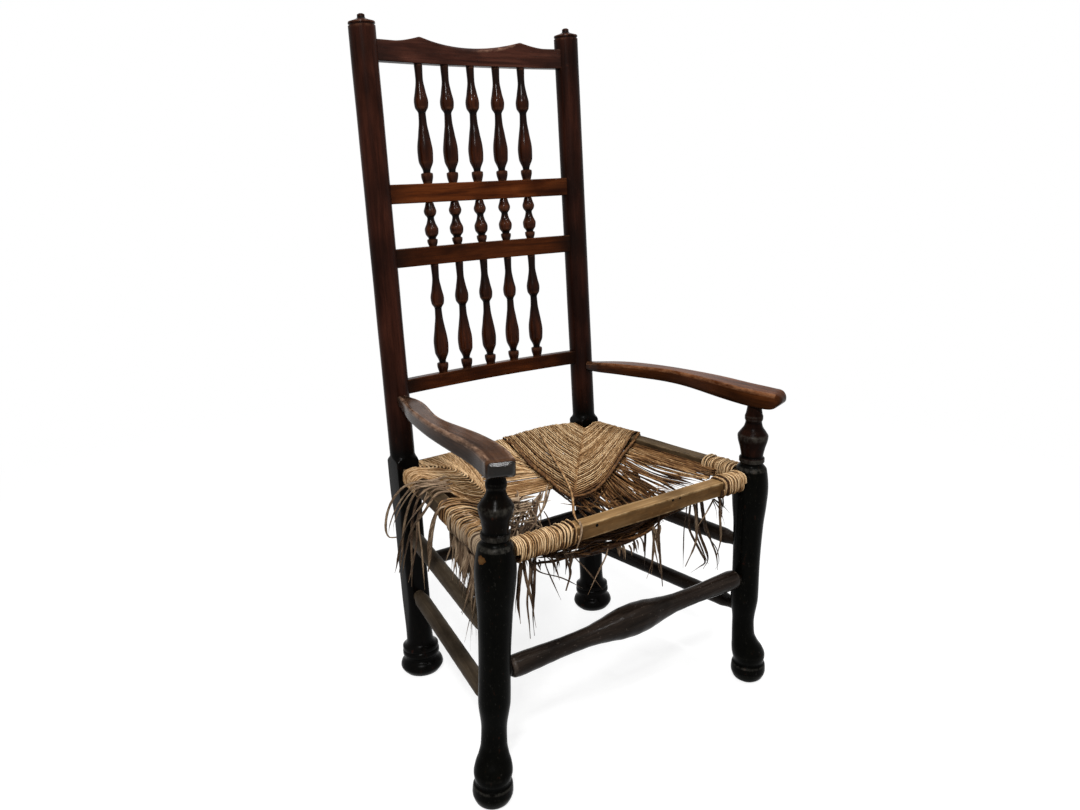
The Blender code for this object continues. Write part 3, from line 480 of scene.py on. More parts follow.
def turn(node, material, necks=0.0):
    """Replace a turned CAD node by a smooth, slightly uneven turning with the same profile.

    necks darkens its thin parts.
    """
    points = node_points(node)
    origin = points.mean(axis=0)
    axis = np.linalg.eigh(np.cov((points - origin).T))[1][:, 2]
    axis = axis if axis[np.argmax(np.abs(axis))] > 0 else -axis
    places, radii = smooth_turning(*turned_profile(node, origin, axis))
    rng = rng_for(node)
    angles = ring_angles(TURNING_SIDES)
    across = unit(np.cross(axis, (0.31, 0.52, 0.79)))
    other = np.cross(axis, across)
    oval = 1 + 0.010 * np.cos(2 * angles + rng.uniform(0, 6.28))
    chatter = 1 + 0.006 * np.sin(places[:, None] * 240 + 3 * angles[None] + rng.uniform(0, 6.28))
    reach = radii[:, None] * oval[None] * chatter
    flat = np.stack((reach * np.cos(angles), reach * np.sin(angles)), axis=2)
    rings = origin + places[:, None, None] * axis + flat[..., :1] * across + flat[..., 1:] * other
    grain = np.concatenate((flat, np.broadcast_to(places[:, None, None], (*flat.shape[:2], 1))), axis=2)
    grain = grain + grain_start(rng)
    edge = np.repeat(edge_of(places, radii), TURNING_SIDES)
    stain_and_shade = np.repeat(necks * (1 - (radii - radii.min()) / np.ptp(radii)), TURNING_SIDES)
    piece = add_wood(node + "_turned", len(places), rings, grain, edge, stain_and_shade, material)
    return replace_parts(piece, node)


def rounded_square(half, corner, count):
    """A square with rounded corners, as count points about its middle, and how near each is to a corner."""
    points, near = [], []
    per_corner = count // 4
    flat = half - corner
    for quarter, (sx, sy) in enumerate(((1, 1), (-1, 1), (-1, -1), (1, -1))):
        for step in range(per_corner):
            share = step / (per_corner - 1)
            angle = (quarter + share) * math.pi / 2
            points.append((sx * flat + corner * math.cos(angle), sy * flat + corner * math.sin(angle)))
            near.append(1.0 - abs(2 * share - 1))
    return np.array(points), np.array(near)


# Back posts: points round them, step along them, how far the foot goes on below its lowest ring, the top of
# the black staining and the length over which it fades, how dark each post is above it, and the painted shade
# by a rail and how far it reaches
POST_SIDES = 48
POST_STEP = 0.004
POST_FOOT = 0.008
POST_BLACK_TOP = 0.52
POST_BLACK_FADE = 0.10
POST_STAIN = {-1: 0.05, 1: 0.42}
POST_RAIL_SHADE = 0.35
POST_RAIL_REACH = 0.035


def dress_back_post(node, side):
    """A back post: round above the seat, a square block at the seat, rounded square below, bun foot."""
    points = back_local(node_points(node))
    points[:, 0] -= side * BACK_HALF_SPACING
    heights, halves, corners = [], [], []
    # The source's sections have points at 15, 45 and 75 degrees of each corner's arc
    facet = math.cos(math.pi / 12)
    for height, members in groups_along(points, points[:, 2], 10):
        sizes = np.sort(np.abs(members[:, :2]), axis=1)
        outer = sizes[:, 1].max()
        diagonal = np.median(sizes[sizes[:, 1] - sizes[:, 0] < 0.0004].ravel())
        corner = (outer - diagonal) / (facet - math.cos(math.pi / 4))
        heights.append(height)
        halves.append(outer + corner * (1 - facet))
        corners.append(min(1.0, corner / halves[-1]))
    heights.insert(0, heights[0] - POST_FOOT)
    halves.insert(0, POST_BASE_RADIUS)
    corners.insert(0, 1.0)
    fine = samples_over(heights, POST_STEP)
    half = monotone(heights, halves, fine)
    corner = monotone(heights, corners, fine)
    rings, grain, edge, stain_and_shade = [], [], [], []
    rail_heights = [CREST_BASE + CREST_END_HEIGHT / 2]
    rail_heights += [base + tall / 2 for base, tall in CROSS_RAILS.values()]
    for height, size, share, proud in zip(fine, half, corner, edge_of(fine, half)):
        section, near = rounded_square(size, min(0.999, max(0.10, share)) * size, POST_SIDES)
        wobble = 0.0003 * math.sin(37 * height) * np.array((math.cos(9 * height), math.sin(11 * height)))
        for x, y in section + wobble:
            rings.append(back_point(side * BACK_HALF_SPACING + x, y, height))
            grain.append((x, y, height))
        wear_and_highlight = np.maximum(near * (1 - share) * 1.1 - 0.35, 0) + proud
        edge.append(np.clip(wear_and_highlight * (1.0 if height > SEAT_FRONT_HEIGHT else 0.25), -1, 1))
        # Painted shade where a rail meets the post.
        by_rail = max(math.exp(-(((height - rail) / POST_RAIL_REACH) ** 2)) for rail in rail_heights)
        dark = max((POST_BLACK_TOP - height) / POST_BLACK_FADE, POST_STAIN[side] + POST_RAIL_SHADE * by_rail)
        stain_and_shade.append(np.full(POST_SIDES, np.clip(dark, 0, 1)))
    rings = np.array(rings)
    rings[:, 2] = np.maximum(rings[:, 2], 0.0)
    grain = np.array(grain) + grain_start(rng_for(node))
    piece = add_wood(node + "_dressed", len(fine), rings, grain, edge, stain_and_shade, POST_WOOD)
    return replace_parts(piece, node)


# Front legs: the top of the black stain and the length over which it fades, and how dark each arm support is
LEG_BLACK_TOP = 0.47
LEG_BLACK_FADE = 0.05
LEG_STAIN = {-1: 0.94, 1: 0.55}
# Where dust and a painted sheen lie on a front leg's shoulders: height and half spread, and how thickly
LEG_DUST_AND_SHEEN = ((0.4200, 0.0060), (0.4690, 0.0050))
DUST_AND_SHEEN_STRENGTH = 0.9
# A patch of lost stain on the front left leg: height and angle of its middle, half its height and half its
# angle, and from its hidden rim inwards the share of its size and how far it stands proud
LEG_PATCH = (0.3990, 3.38, 0.0062, 0.25)
LEG_PATCH_RINGS = ((1.0, -0.0010), (1.0, 0.0002), (0.8, 0.0003), (0.5, 0.0003), (0.2, 0.0003))
LEG_PATCH_SIDES = 24


def leg_wobble(angles, heights):
    """How far a leg strays from a true round."""
    return 1 + 0.008 * np.cos(2 * angles + 9 * heights) + 0.004 * np.sin(5 * angles + 60 * heights)


def leg_patch(profile):
    """A thin ragged patch of bare wood; profile gives the leg's axis and radius at heights."""
    middle, turned, tall, wide = LEG_PATCH
    around = ring_angles(LEG_PATCH_SIDES)
    ragged = 1 + 0.10 * np.sin(3 * around + 1) + 0.09 * np.sin(7 * around + 2)
    rings, stain_and_shade = [], []
    for share, proud in LEG_PATCH_RINGS:
        heights = middle + tall * share * ragged * np.sin(around)
        angles = turned + wide * share * ragged * np.cos(around)
        x, y, radius = profile(heights).T
        reach = radius * leg_wobble(angles, heights) + proud
        rings.append(np.stack((x + reach * np.cos(angles), y + reach * np.sin(angles), heights), axis=1))
        stain_and_shade.append(np.full(LEG_PATCH_SIDES, 0.62 + 0.38 * share))
    count = len(rings)
    edge = np.zeros(count * LEG_PATCH_SIDES)
    return add_wood("left_leg_bare_patch", count, rings, rings, edge, stain_and_shade, FRONT_RAIL_WOOD)


def dress_front_leg(node, side):
    """A front leg, its arm support and its tenon in one smooth turning with an offset foot."""
    points = node_points(node)
    heights, rows = [], []
    for height, members in groups_along(points, points[:, 2], 8):
        centre = members[:, :2].mean(axis=0)
        away = np.linalg.norm(members[:, :2] - centre, axis=1)
        if away.max() - away.min() < 0.0006:
            heights.append(height)
            rows.append((*centre, away.max()))
    rows = np.array(rows)
    fine = samples_over(heights, PROFILE_STEP)
    centre_x, centre_y, radii = monotone(heights, rows, fine).T
    angles = ring_angles(TURNING_SIDES)
    reach = radii[:, None] * leg_wobble(angles[None], fine[:, None])
    x = centre_x[:, None] + reach * np.cos(angles)
    y = centre_y[:, None] + reach * np.sin(angles)
    rings = np.stack((x, y, np.broadcast_to(fine[:, None], reach.shape)), axis=2)
    if side < 0:
        leg_patch(lambda samples: monotone(heights, rows, samples))
    # Dust and a painted sheen on the shoulders, in the grey edge colour.
    dust_and_sheen = sum(np.exp(-(((fine - height) / spread) ** 2)) for height, spread in LEG_DUST_AND_SHEEN)
    grain = rings + grain_start(rng_for(node))
    edge = np.repeat(np.clip(edge_of(fine, radii) + DUST_AND_SHEEN_STRENGTH * dust_and_sheen, -1, 1), TURNING_SIDES)
    stain_and_shade = np.repeat(np.clip((LEG_BLACK_TOP - fine) / LEG_BLACK_FADE, LEG_STAIN[side], 1), TURNING_SIDES)
    piece = add_wood(node + "_dressed", len(fine), rings, grain, edge, stain_and_shade, LEG_WOOD)
    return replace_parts(piece, node)


# Arms, as in the part's source: share of the way from the nose to the post, share of the way out from the
# post to the leg, half width, share of the rise from the back to the front, half thickness
ARM_FRONT_HEIGHT = 0.5372
ARM_BACK_HEIGHT = 0.5150
ARM_NOSE_REACH = 0.045
ARM_STATIONS = (
    (0.000, 1.37, 0.0170, 1.14, 0.0082),
    (0.010, 1.345, 0.0196, 1.10, 0.0112),
    (0.033, 1.28, 0.0206, 1.03, 0.0136),
    (0.078, 1.17, 0.0210, 1.00, 0.0145),
    (0.154, 1.05, 0.0205, 1.00, 0.0145),
    (0.278, 1.01, 0.0195, 0.976, 0.0140),
    (0.425, 1.02, 0.0165, 0.88, 0.0125),
    (0.549, 0.95, 0.0138, 0.76, 0.0120),
    (0.640, 0.79, 0.0150, 0.67, 0.0115),
    (0.730, 0.59, 0.0170, 0.55, 0.0110),
    (0.820, 0.37, 0.0155, 0.43, 0.0105),
    (0.911, 0.19, 0.0115, 0.19, 0.0100),
    (0.996, 0.05, 0.0085, 0.00, 0.0085),
)
ARM_EDGE = 0.0046
# How each arm's nose is rounded off: over what length, how far at the sides and below, and its top's bevel
# and rounding
ARM_NOSES = {-1: (0.0090, 0.0085, 0.0060, 0.0048, 0.0), 1: (0.0180, 0.0140, 0.0105, 0.0, 0.0090)}
ARM_NOSE_FULL = 0.010
ARM_SAMPLES = 260
ARM_SHARP = 75


def arm_line():
    """The right arm from nose to post: shares of its length, middles, ways straight across it and half sizes.

    The stations' sizes are evened out between nose and post, and the nose keeps its size up to its rounding.
    """
    table = np.array(ARM_STATIONS)
    shares = np.linspace(0, table[-1, 0], ARM_SAMPLES)
    to_post = shares[-1] - shares
    columns = spline(table[:, 0], table[:, 1:], shares)
    sized = spline(table[:, 0], table[:, 1:], np.maximum(shares, ARM_NOSE_FULL))
    reach = 0.001 + 0.040 * np.clip((shares - 0.06) / 0.15, 0, 1) * np.clip(to_post / 0.15, 0, 1)
    weight = np.exp(-0.5 * ((shares[:, None] - shares[None]) / reach[:, None]) ** 2)
    weight /= weight.sum(axis=1)[:, None]
    outward = weight @ columns[:, 0]
    half_width, rise, half_thickness = (weight @ sized[:, 1:]).T
    post = post_axis(1, ARM_BACK_HEIGHT)
    nose = FRONT_Y - ARM_NOSE_REACH
    x = post[0] + outward * (leg_axis(1, ARM_FRONT_HEIGHT)[0] - post[0])
    y = nose + shares * (post[1] - POST_RADIUS - nose)
    z = ARM_BACK_HEIGHT + rise * (ARM_FRONT_HEIGHT - ARM_BACK_HEIGHT)
    turned = np.arctan2(-np.gradient(x, shares), np.gradient(y, shares)) * np.clip(to_post / 0.08, 0, 1)
    across = np.stack((np.cos(turned), np.sin(turned), np.zeros(len(shares))), axis=1)
    return shares, np.stack((x, y, z), axis=1), across, half_width, half_thickness


def arm_stain_and_shade(side, share, way, z, half):
    """How dark an arm is: painted shade on the left arm's front face and on the flanks, darkening at its root
    by the post, and the black tip of its nose.
    """
    # Painted shade: the left arm's front face below its top, and both arms' lower flanks.
    front = np.clip(1 - share / 0.05, 0, 1) * np.clip((0.75 * half - z) / half, 0, 1)
    flank_shade = 0.55 * np.clip((0.6 * half - z) / half, 0, 1)
    root = 0.8 * np.clip((share - 0.86) / 0.08, 0, 1)
    tip = 0.95 * (way <= ARM_NOSES[-1][3]) if side < 0 else 0.8 * np.clip(1 - way / 0.014, 0, 1)
    return max(front if side < 0 else 0.0, flank_shade, root, tip)


def dress_arm(node, side, material):
    """An arm: a flat-sided bar with edges marked by wear, which swells, narrows and turns out to a blunt
    nose.
    """
    shares, middles, across, half_widths, half_thicknesses = arm_line()
    gone = middles[:, 1] - middles[0, 1]
    depth, at_sides, below, bevel, above = ARM_NOSES[side]
    ways = [depth * (1 - math.cos(t)) for t in np.linspace(0, math.pi / 2, 11)]
    ways += [way for way in gone if way > depth + 0.0008]
    points, grain, edge, stain_and_shade = [], [], [], []
    for way in ways:
        inset = 1 - math.sqrt(1 - max(0.0, 1 - way / depth) ** 2)
        share = np.interp(way, gone, shares)
        middle = np.array([np.interp(way, gone, column) for column in middles.T])
        aside = np.array([np.interp(way, gone, column) for column in across.T])
        w, h = np.interp(way, gone, half_widths) - at_sides * inset, np.interp(way, gone, half_thicknesses)
        top, bottom = h - above * inset - max(0.0, bevel - way), below * inset - h
        outline, near = rounded_outline([(w, bottom), (w, top), (-w, top), (-w, bottom)], ARM_EDGE, 6)
        for x, z in outline:
            place = middle + x * aside + z * UP
            points.append((side * place[0], place[1], place[2]))
            grain.append((x, z, place[1]))
            stain_and_shade.append(arm_stain_and_shade(side, share, way, z, h))
        edge.append(near * (outline[:, 1] > 0) * (way > 0.009))
    grain = np.array(grain) + grain_start(rng_for(node))
    piece = add_wood(
        node + "_dressed", len(ways), points, grain, edge, stain_and_shade, material, sharp=ARM_SHARP
    )
    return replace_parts(piece, node)


def rounded_outline(corners, radius, steps):
    """A polygon with each corner rounded, and how near each point is to a corner."""
    corners = np.asarray(corners, float)
    points, near = [], []

    def cut(corner, other):
        """Where the rounding of a corner meets the side towards another corner."""
        side = other - corner
        return corner + unit(side) * min(radius, 0.45 * np.linalg.norm(side))

    for before, corner, after in zip(np.roll(corners, 1, 0), corners, np.roll(corners, -1, 0)):
        into, out = before - corner, after - corner
        reach = min(radius, 0.45 * np.linalg.norm(into), 0.45 * np.linalg.norm(out))
        start, end = corner + unit(into) * reach, corner + unit(out) * reach
        for step in range(steps):
            t = step / (steps - 1)
            points.append((1 - t) ** 2 * start + 2 * t * (1 - t) * corner + t**2 * end)
            near.append(1.0)
        for share in (0.12, 0.5, 0.88):
            points.append(end + (cut(after, corner) - end) * share)
            near.append(0.15 if share != 0.5 else 0.0)
    return np.array(points), np.array(near)


def bow(x):
    """How far a back rail is bowed to the rear."""
    half = BACK_HALF_SPACING - POST_RADIUS
    return RAIL_BOW * max(0.0, 1.0 - (x / half) ** 2)


def crest_height(x):
    """The crest rail's height at x: flat ends, two peaks and a hollow between them."""
    at_x = abs(x)
    if at_x >= CREST_FLAT_FROM:
        return CREST_END_HEIGHT
    if at_x >= CREST_PEAK_AT:
        share = (CREST_FLAT_FROM - at_x) / (CREST_FLAT_FROM - CREST_PEAK_AT)
        return CREST_END_HEIGHT + (CREST_PEAK_HEIGHT - CREST_END_HEIGHT) * share**1.5
    return CREST_DIP_HEIGHT + (CREST_PEAK_HEIGHT - CREST_DIP_HEIGHT) * (at_x / CREST_PEAK_AT) ** 2


def dress_back_rail(node, base, height_at, chamfer_at, material, darkening=0.0):
    """A bowed back rail with softened edges, darkened evenly by a given amount and by painted shade towards
    the posts; on the crest's chamfered hollow the edge colour is a painted highlight.
    """
    reach = BACK_HALF_SPACING - POST_RADIUS + RAIL_TENON
    xs = np.linspace(-reach, reach, 121)
    rng = rng_for(node)
    phase = rng.uniform(0, 6.3)
    rings, grain, edge, stain_and_shade = [], [], [], []
    half = RAIL_THICKNESS / 2
    for x in xs:
        high, chamfer = base + height_at(x), chamfer_at(x)
        wave = 0.00035 * math.sin(33 * x + phase)
        corners = [(-half, base), (half, base), (half, high)]
        corners += [(-half + chamfer, high), (-half, high - chamfer)]
        outline, near = rounded_outline(corners, RAIL_ROUND, 4)
        for y, z in outline:
            rings.append(back_point(x, bow(x) + y + wave, z))
            grain.append((y, z, x))
        # On the crest's chamfered hollow the edge colour is a painted highlight, stronger towards the right;
        # elsewhere it is wear.
        wear_and_highlight = np.clip(0.3 + x / 0.06, 0.15, 1.0) if chamfer > 0.001 else 0.45
        edge.append(near * wear_and_highlight * (outline[:, 1] > (base + high) / 2))
        # Darker evenly by the given amount, and more by each post, where painted shade falls at the joint.
        stain_and_shade += [darkening + 0.55 * np.clip(1 - (reach - RAIL_TENON - abs(x)) / 0.045, 0, 1)] * len(outline)
    grain = np.array(grain) + grain_start(rng)
    stain_and_shade = np.clip(stain_and_shade, 0, 1)
    piece = add_wood(node + "_dressed", len(xs), rings, grain, edge, stain_and_shade, material)
    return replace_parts(piece, node)


class Rail:
    """A seat rail's axis, with the directions across it and up from it."""

    def __init__(self, start, end):
        self.start = start
        self.length = np.linalg.norm(end - start)
        self.along = unit(end - start)
        self.across = unit(np.cross(self.along, (0.0, 0.0, 1.0)))
        self.up = np.cross(self.across, self.along)

    def place(self, distance, across, up):
        return self.start + self.along * distance + self.across * across + self.up * up


RAILS = {
    "front_seat_rail": Rail(leg_axis(-1, SEAT_FRONT_HEIGHT), leg_axis(1, SEAT_FRONT_HEIGHT)),
    "back_seat_rail": Rail(post_axis(-1, BACK_RAIL_HEIGHT), post_axis(1, BACK_RAIL_HEIGHT)),
    "left_seat_rail": Rail(leg_axis(-1, SEAT_FRONT_HEIGHT), post_axis(-1, SIDE_RAIL_BACK_HEIGHT)),
    "right_seat_rail": Rail(leg_axis(1, SEAT_FRONT_HEIGHT), post_axis(1, SIDE_RAIL_BACK_HEIGHT)),
}


def dress_seat_rail(node, material, darkening):
    """A squared seat rail with edges marked by wear and thin ends in the legs; painted shade darkens all but
    its top.
    """
    rail = RAILS[node]
    places = node_points(node) @ rail.along
    low, high = min(places) - rail.start @ rail.along, max(places) - rail.start @ rail.along
    distances = np.linspace(low, high, 90)
    rings, grain, edge, stain_and_shade = [], [], [], []
    for distance in distances:
        inside = min(distance - low, high - distance)
        share = np.clip((inside - SEAT_TENON_LENGTH) / SEAT_SHOULDER, 0.0, 1.0)
        width = SEAT_TENON_HALF + share * (SEAT_RAIL_HALF_WIDTH - SEAT_TENON_HALF)
        height = SEAT_TENON_HALF + share * (SEAT_RAIL_HALF_HEIGHT - SEAT_TENON_HALF)
        soft = SEAT_RAIL_ROUND * (1 + 0.25 * math.sin(19 * distance + 1))
        corners = [(width, -height), (width, height), (-width, height), (-width, -height)]
        outline, near = rounded_outline(corners, soft, 5)
        for x, z in outline:
            hew = 0.0003 * math.sin(47 * distance + 300 * x)
            rings.append(rail.place(distance, x, z + hew * share))
            grain.append((x, z, distance))
            # Painted shade on every face but the top.
            stain_and_shade.append(darkening * (z < height - 0.0004))
        edge.append(near * 0.8)
    grain = np.array(grain) + grain_start(rng_for(node))
    piece = add_wood(node + "_dressed", len(distances), rings, grain, edge, stain_and_shade, material)
    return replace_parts(piece, node)


# Nail holes in the front rail's face: x, height and radius of each, and how far their backs and fronts stand
# proud
NAIL_SIDES = 12
NAIL_PROUD = (-0.0010, 0.0003)
NAIL_HOLES = ((-0.0862, 0.4006, 0.0026), (0.0653, 0.4030, 0.0022), (0.0803, 0.4028, 0.0017))


def nail_holes():
    """Dark round spots, a hair proud of the front rail's face, painted with the shade inside nail holes."""
    face = RAILS["front_seat_rail"].start[1] - SEAT_RAIL_HALF_WIDTH
    points, faces = [], []
    for x, height, radius in NAIL_HOLES:
        faces += skin_faces(2, NAIL_SIDES, len(points))
        for proud in NAIL_PROUD:
            for turned in ring_angles(NAIL_SIDES):
                aside, up = radius * math.cos(turned), radius * math.sin(turned)
                points.append((x + aside, face - proud, height + up))
    attributes = {"grain": np.array(points), "edge": np.zeros(len(points)), "stain_and_shade": np.ones(len(points))}
    return add_piece("front_rail_nail_holes", points, faces, attributes, LEG_WOOD)


# Rush


def smooth_route(points, step):
    """Points at even steps on a smooth curve through the given points."""
    points = np.asarray(points, float)
    padded = np.vstack((2 * points[0] - points[1], points, 2 * points[-1] - points[-2]))
    dense = []
    for before, start, end, after in zip(padded, padded[1:], padded[2:], padded[3:]):
        for t in np.linspace(0, 1, 12, endpoint=False):
            dense.append(
                start
                + 0.5 * t * (end - before)
                + t * t * (before - 2.5 * start + 2 * end - 0.5 * after)
                + t**3 * (1.5 * start - 0.5 * before - 1.5 * end + 0.5 * after)
            )
    dense = np.array(dense + [points[-1]])
    length = np.concatenate(([0], np.cumsum(np.linalg.norm(np.diff(dense, axis=0), axis=1))))
    places = np.linspace(0, length[-1], max(3, int(round(length[-1] / step)) + 1))
    return np.stack([np.interp(places, length, dense[:, i]) for i in range(3)], axis=1)


class Strands:
    """Collects rush strands, each swept along its route, into one mesh piece."""

    def __init__(self, name):
        self.name = name
        self.rng = rng_for(name)
        self.points, self.faces = [], []
        self.tones, self.fibres, self.shades = [], [], []
        self.total = 0

    def add(
        self, route, half_width, half_height, tone,
        up=UP, twist=150, spin=0, fray=(0, 0), tip=0.2, crevice=0.8,
    ):
        """Sweep an oval section along a route.

        up is the section's outer side, at the start or at every point. twist winds the fibres and spin the
        section, in radians per metre. fray is the length over which each end thins out to tip. The crevice
        argument sets the painted shade that darkens the sides and the inner side.
        """
        route = np.asarray(route, float)
        count = len(route)
        along = np.concatenate(([0.0], np.cumsum(np.linalg.norm(np.diff(route, axis=0), axis=1))))
        tangent = np.gradient(route, axis=0)
        tangent /= np.linalg.norm(tangent, axis=1)[:, None] + 1e-12
        wide, high = np.empty((count, 3)), np.empty((count, 3))
        outer = np.asarray(up, float)
        for i, ahead in enumerate(tangent):
            lean = outer[i] if outer.ndim == 2 else outer
            lean = lean - ahead * (lean @ ahead)
            if np.linalg.norm(lean) < 1e-6:
                lean = np.cross(ahead, (0.6, 0.3, 0.74))
            lean = unit(lean)
            if outer.ndim == 1:
                outer = lean
            sideways = np.cross(ahead, lean)
            turned = spin * along[i]
            wide[i] = math.cos(turned) * sideways + math.sin(turned) * lean
            high[i] = math.cos(turned) * lean - math.sin(turned) * sideways
        size = 1 + 0.09 * np.sin(along * 410 + self.rng.uniform(0, 6.3)) * np.sin(along * 137)
        for length, distance in zip(fray, (along, along[-1] - along)):
            if length:
                size *= np.clip(distance / length, tip, 1.0)
        angles = ring_angles(STRAND_SIDES)
        sides = np.cos(angles)[None, :, None] * (wide * np.broadcast_to(half_width, count)[:, None])[:, None]
        sides = sides + np.sin(angles)[None, :, None] * high[:, None] * half_height
        rings = route[:, None] + sides * size[:, None, None]
        wound = angles[None] + twist * along[:, None]
        start = self.rng.uniform(0, 40)
        length = np.broadcast_to(along[:, None] + start, wound.shape)
        fibre = np.stack((np.cos(wound) + start, np.sin(wound) - start, length), axis=2)
        # Painted shade: each strand is darker on its sides and inner side.
        shade = 1 - crevice * (1 - np.clip((np.sin(angles) - 0.40) / 0.55, 0.0, 1.0))
        self.faces += skin_faces(count, STRAND_SIDES, self.total)
        self.total += count * STRAND_SIDES
        self.points.append(rings.reshape(-1, 3))
        self.fibres.append(fibre.reshape(-1, 3))
        self.shades.append(np.tile(shade, count))
        self.tones.append(np.repeat(np.broadcast_to(tone, count), STRAND_SIDES))

    def piece(self, material):
        attributes = {
            "tone": np.concatenate(self.tones),
            "shade": np.concatenate(self.shades),
            "fibre": np.concatenate(self.fibres),
        }
        points = np.concatenate(self.points)
        return add_piece(self.name, points, self.faces, attributes, material, STRAND_SHARP)


def tone_near(rng, middle, spread):
    """A random tone, kept in range."""
    return float(np.clip(rng.normal(middle, spread), 0.06, 1.0))


def along_curve(controls, share):
    """A place at a share of a smooth curve through plan positions, by their index."""
    controls = np.asarray(controls, float)
    places = np.linspace(0, 1, len(controls))
    return at(*monotone(places, controls, np.atleast_1d(np.clip(share, 0, 1)))[0])


def between(ends, share):
    return ends[0] + (ends[1] - ends[0]) * share


# The wedge of weave at the back right: its mitre from the corner to the tip, where its first and last strands
# cross the back rail and the right rail, how it is crowned and bows, and the edges that bound it
WEDGE_MITRE = (
    (0.1740, 0.3560, 0.3960), (0.1355, 0.3120, 0.3950), (0.0950, 0.2650, 0.3935),
    (0.0517, 0.2195, 0.3920), (0.0130, 0.1700, 0.3905), (-0.0346, 0.1160, 0.3880),
)
WEDGE_STRANDS = 40
WEDGE_BACK = (0.1780, 0.0150)
WEDGE_SIDE = (0.3620, 0.2610)
WEDGE_CROWN = 0.0045
WEDGE_BACK_BOW = np.array((-0.006, 0.0, 0.0))
WEDGE_SIDE_BOW = np.array((0.0, -0.020, -0.0035))
WEDGE_HALF = 0.00148
WEDGE_LEFT_EDGE = (
    (0.0099, 0.3838, 0.3968), (0.0090, 0.3470, 0.3952), (-0.0134, 0.2780, 0.3935),
    (-0.0225, 0.2287, 0.3920), (-0.0300, 0.1790, 0.3902), (-0.0370, 0.1420, 0.3886),
)
WEDGE_RIGHT_EDGE = (
    (-0.0018, 0.1122, 0.3890), (0.0380, 0.1308, 0.3905), (0.0864, 0.1635, 0.3925),
    (0.1447, 0.2065, 0.3945), (0.1960, 0.2390, 0.3980), (0.2290, 0.2585, 0.4060),
)
EDGE_STEP = 0.004
EDGE_TWIST = 260

# The weave at the back left: its mitre from the corner forward, where its first and last strands cross the
# back rail and the left rail, and how it bows
LEFT_MITRE = (
    (-0.1860, 0.3740, 0.3900), (-0.1590, 0.3530, 0.3900), (-0.1420, 0.3270, 0.3900),
    (-0.1360, 0.2980, 0.3895), (-0.1410, 0.2500, 0.3885), (-0.1470, 0.2090, 0.3870),
    (-0.1540, 0.1740, 0.3860),
)
LEFT_STRANDS = 30
LEFT_BACK = (-0.1830, -0.0830)
LEFT_SIDE = (0.3500, 0.2920)
LEFT_BOW = np.array((-0.016, -0.010, 0.0005))
LEFT_BEFORE_BEND = np.array((0.014, 0.0265, 0.0012))

# How far a strand's middle lies from a rail's faces, how deep the lower layer lies below the upper, and a
# strand's way under a rail, outward from it and up
WRAP_OFF = 0.0032
LAYER_DROP = 0.0115
WRAP_WIDE = SEAT_RAIL_HALF_WIDTH + WRAP_OFF
WRAP_HIGH = SEAT_RAIL_HALF_HEIGHT + WRAP_OFF
UNDER_RAIL = ((-0.010, -WRAP_HIGH), (0.004, -WRAP_HIGH - 0.0008), (WRAP_WIDE - 0.002, -WRAP_HIGH * 0.72))

# Woven strands: step along them, how far they stray, how much their fibres are wound, in radians per metre,
# how much painted shade darkens their sides, and the painted shade at the mitre and how far it reaches
WOVEN_STEP = 0.0045
WOVEN_STRAY = 0.00025
WOVEN_TWISTS = (110, 190)
WOVEN_CREVICE_SHADE = 0.95
MITRE_SHADE = 0.35
MITRE_SHADE_REACH = 0.007


def round_back_rail(x, lift):
    """A strand's way from under the back rail, up behind it and over it, at x."""
    centre = RAILS["back_seat_rail"].place(x + BACK_HALF_SPACING, 0.0, 0.0)
    over = (
        (WRAP_WIDE, 0.002),
        (WRAP_WIDE - 0.004, WRAP_HIGH * 0.86 + lift),
        (0.0, WRAP_HIGH + 0.0012 + lift),
    )
    return [centre + np.array((0.0, y, z)) for y, z in (*UNDER_RAIL, *over)]


def round_side_rail(node, y, lift):
    """A strand's way over a side rail, down outside it and back under it, at y."""
    rail = RAILS[node]
    side = -1 if node.startswith("left") else 1
    centre = rail.start + rail.along * y / rail.along[1]
    over = (
        (-0.004, WRAP_HIGH + 0.0008 + lift),
        (WRAP_WIDE - 0.003, WRAP_HIGH * 0.9 + lift),
        (WRAP_WIDE, 0.001),
    )
    return [centre + np.array((side * x, 0.0, z)) for x, z in (*over, *reversed(UNDER_RAIL))]


def outer_side(route, apex, rail, upper_first):
    """A strand's outer side along its route: away from the rail that it turns round, and else up or down."""
    offset = route - RAILS[rail].start
    away = offset - np.outer(offset @ RAILS[rail].along, RAILS[rail].along)
    distance = np.linalg.norm(away, axis=1)[:, None]
    turning = np.argmax(np.linalg.norm(route - apex, axis=1))
    upper = (np.arange(len(route)) <= turning) == upper_first
    near = np.clip((0.030 - distance) / 0.012, 0, 1)
    return near * away / distance + (1 - near) * np.where(upper, 1.0, -1.0)[:, None] * UP


def run_to_rail(apex, end, aside):
    """Two points of a strand's upper run from the mitre to a rail, bowed aside."""
    return apex * 0.72 + end * 0.28 + aside, apex * 0.36 + end * 0.64 + aside * 0.6


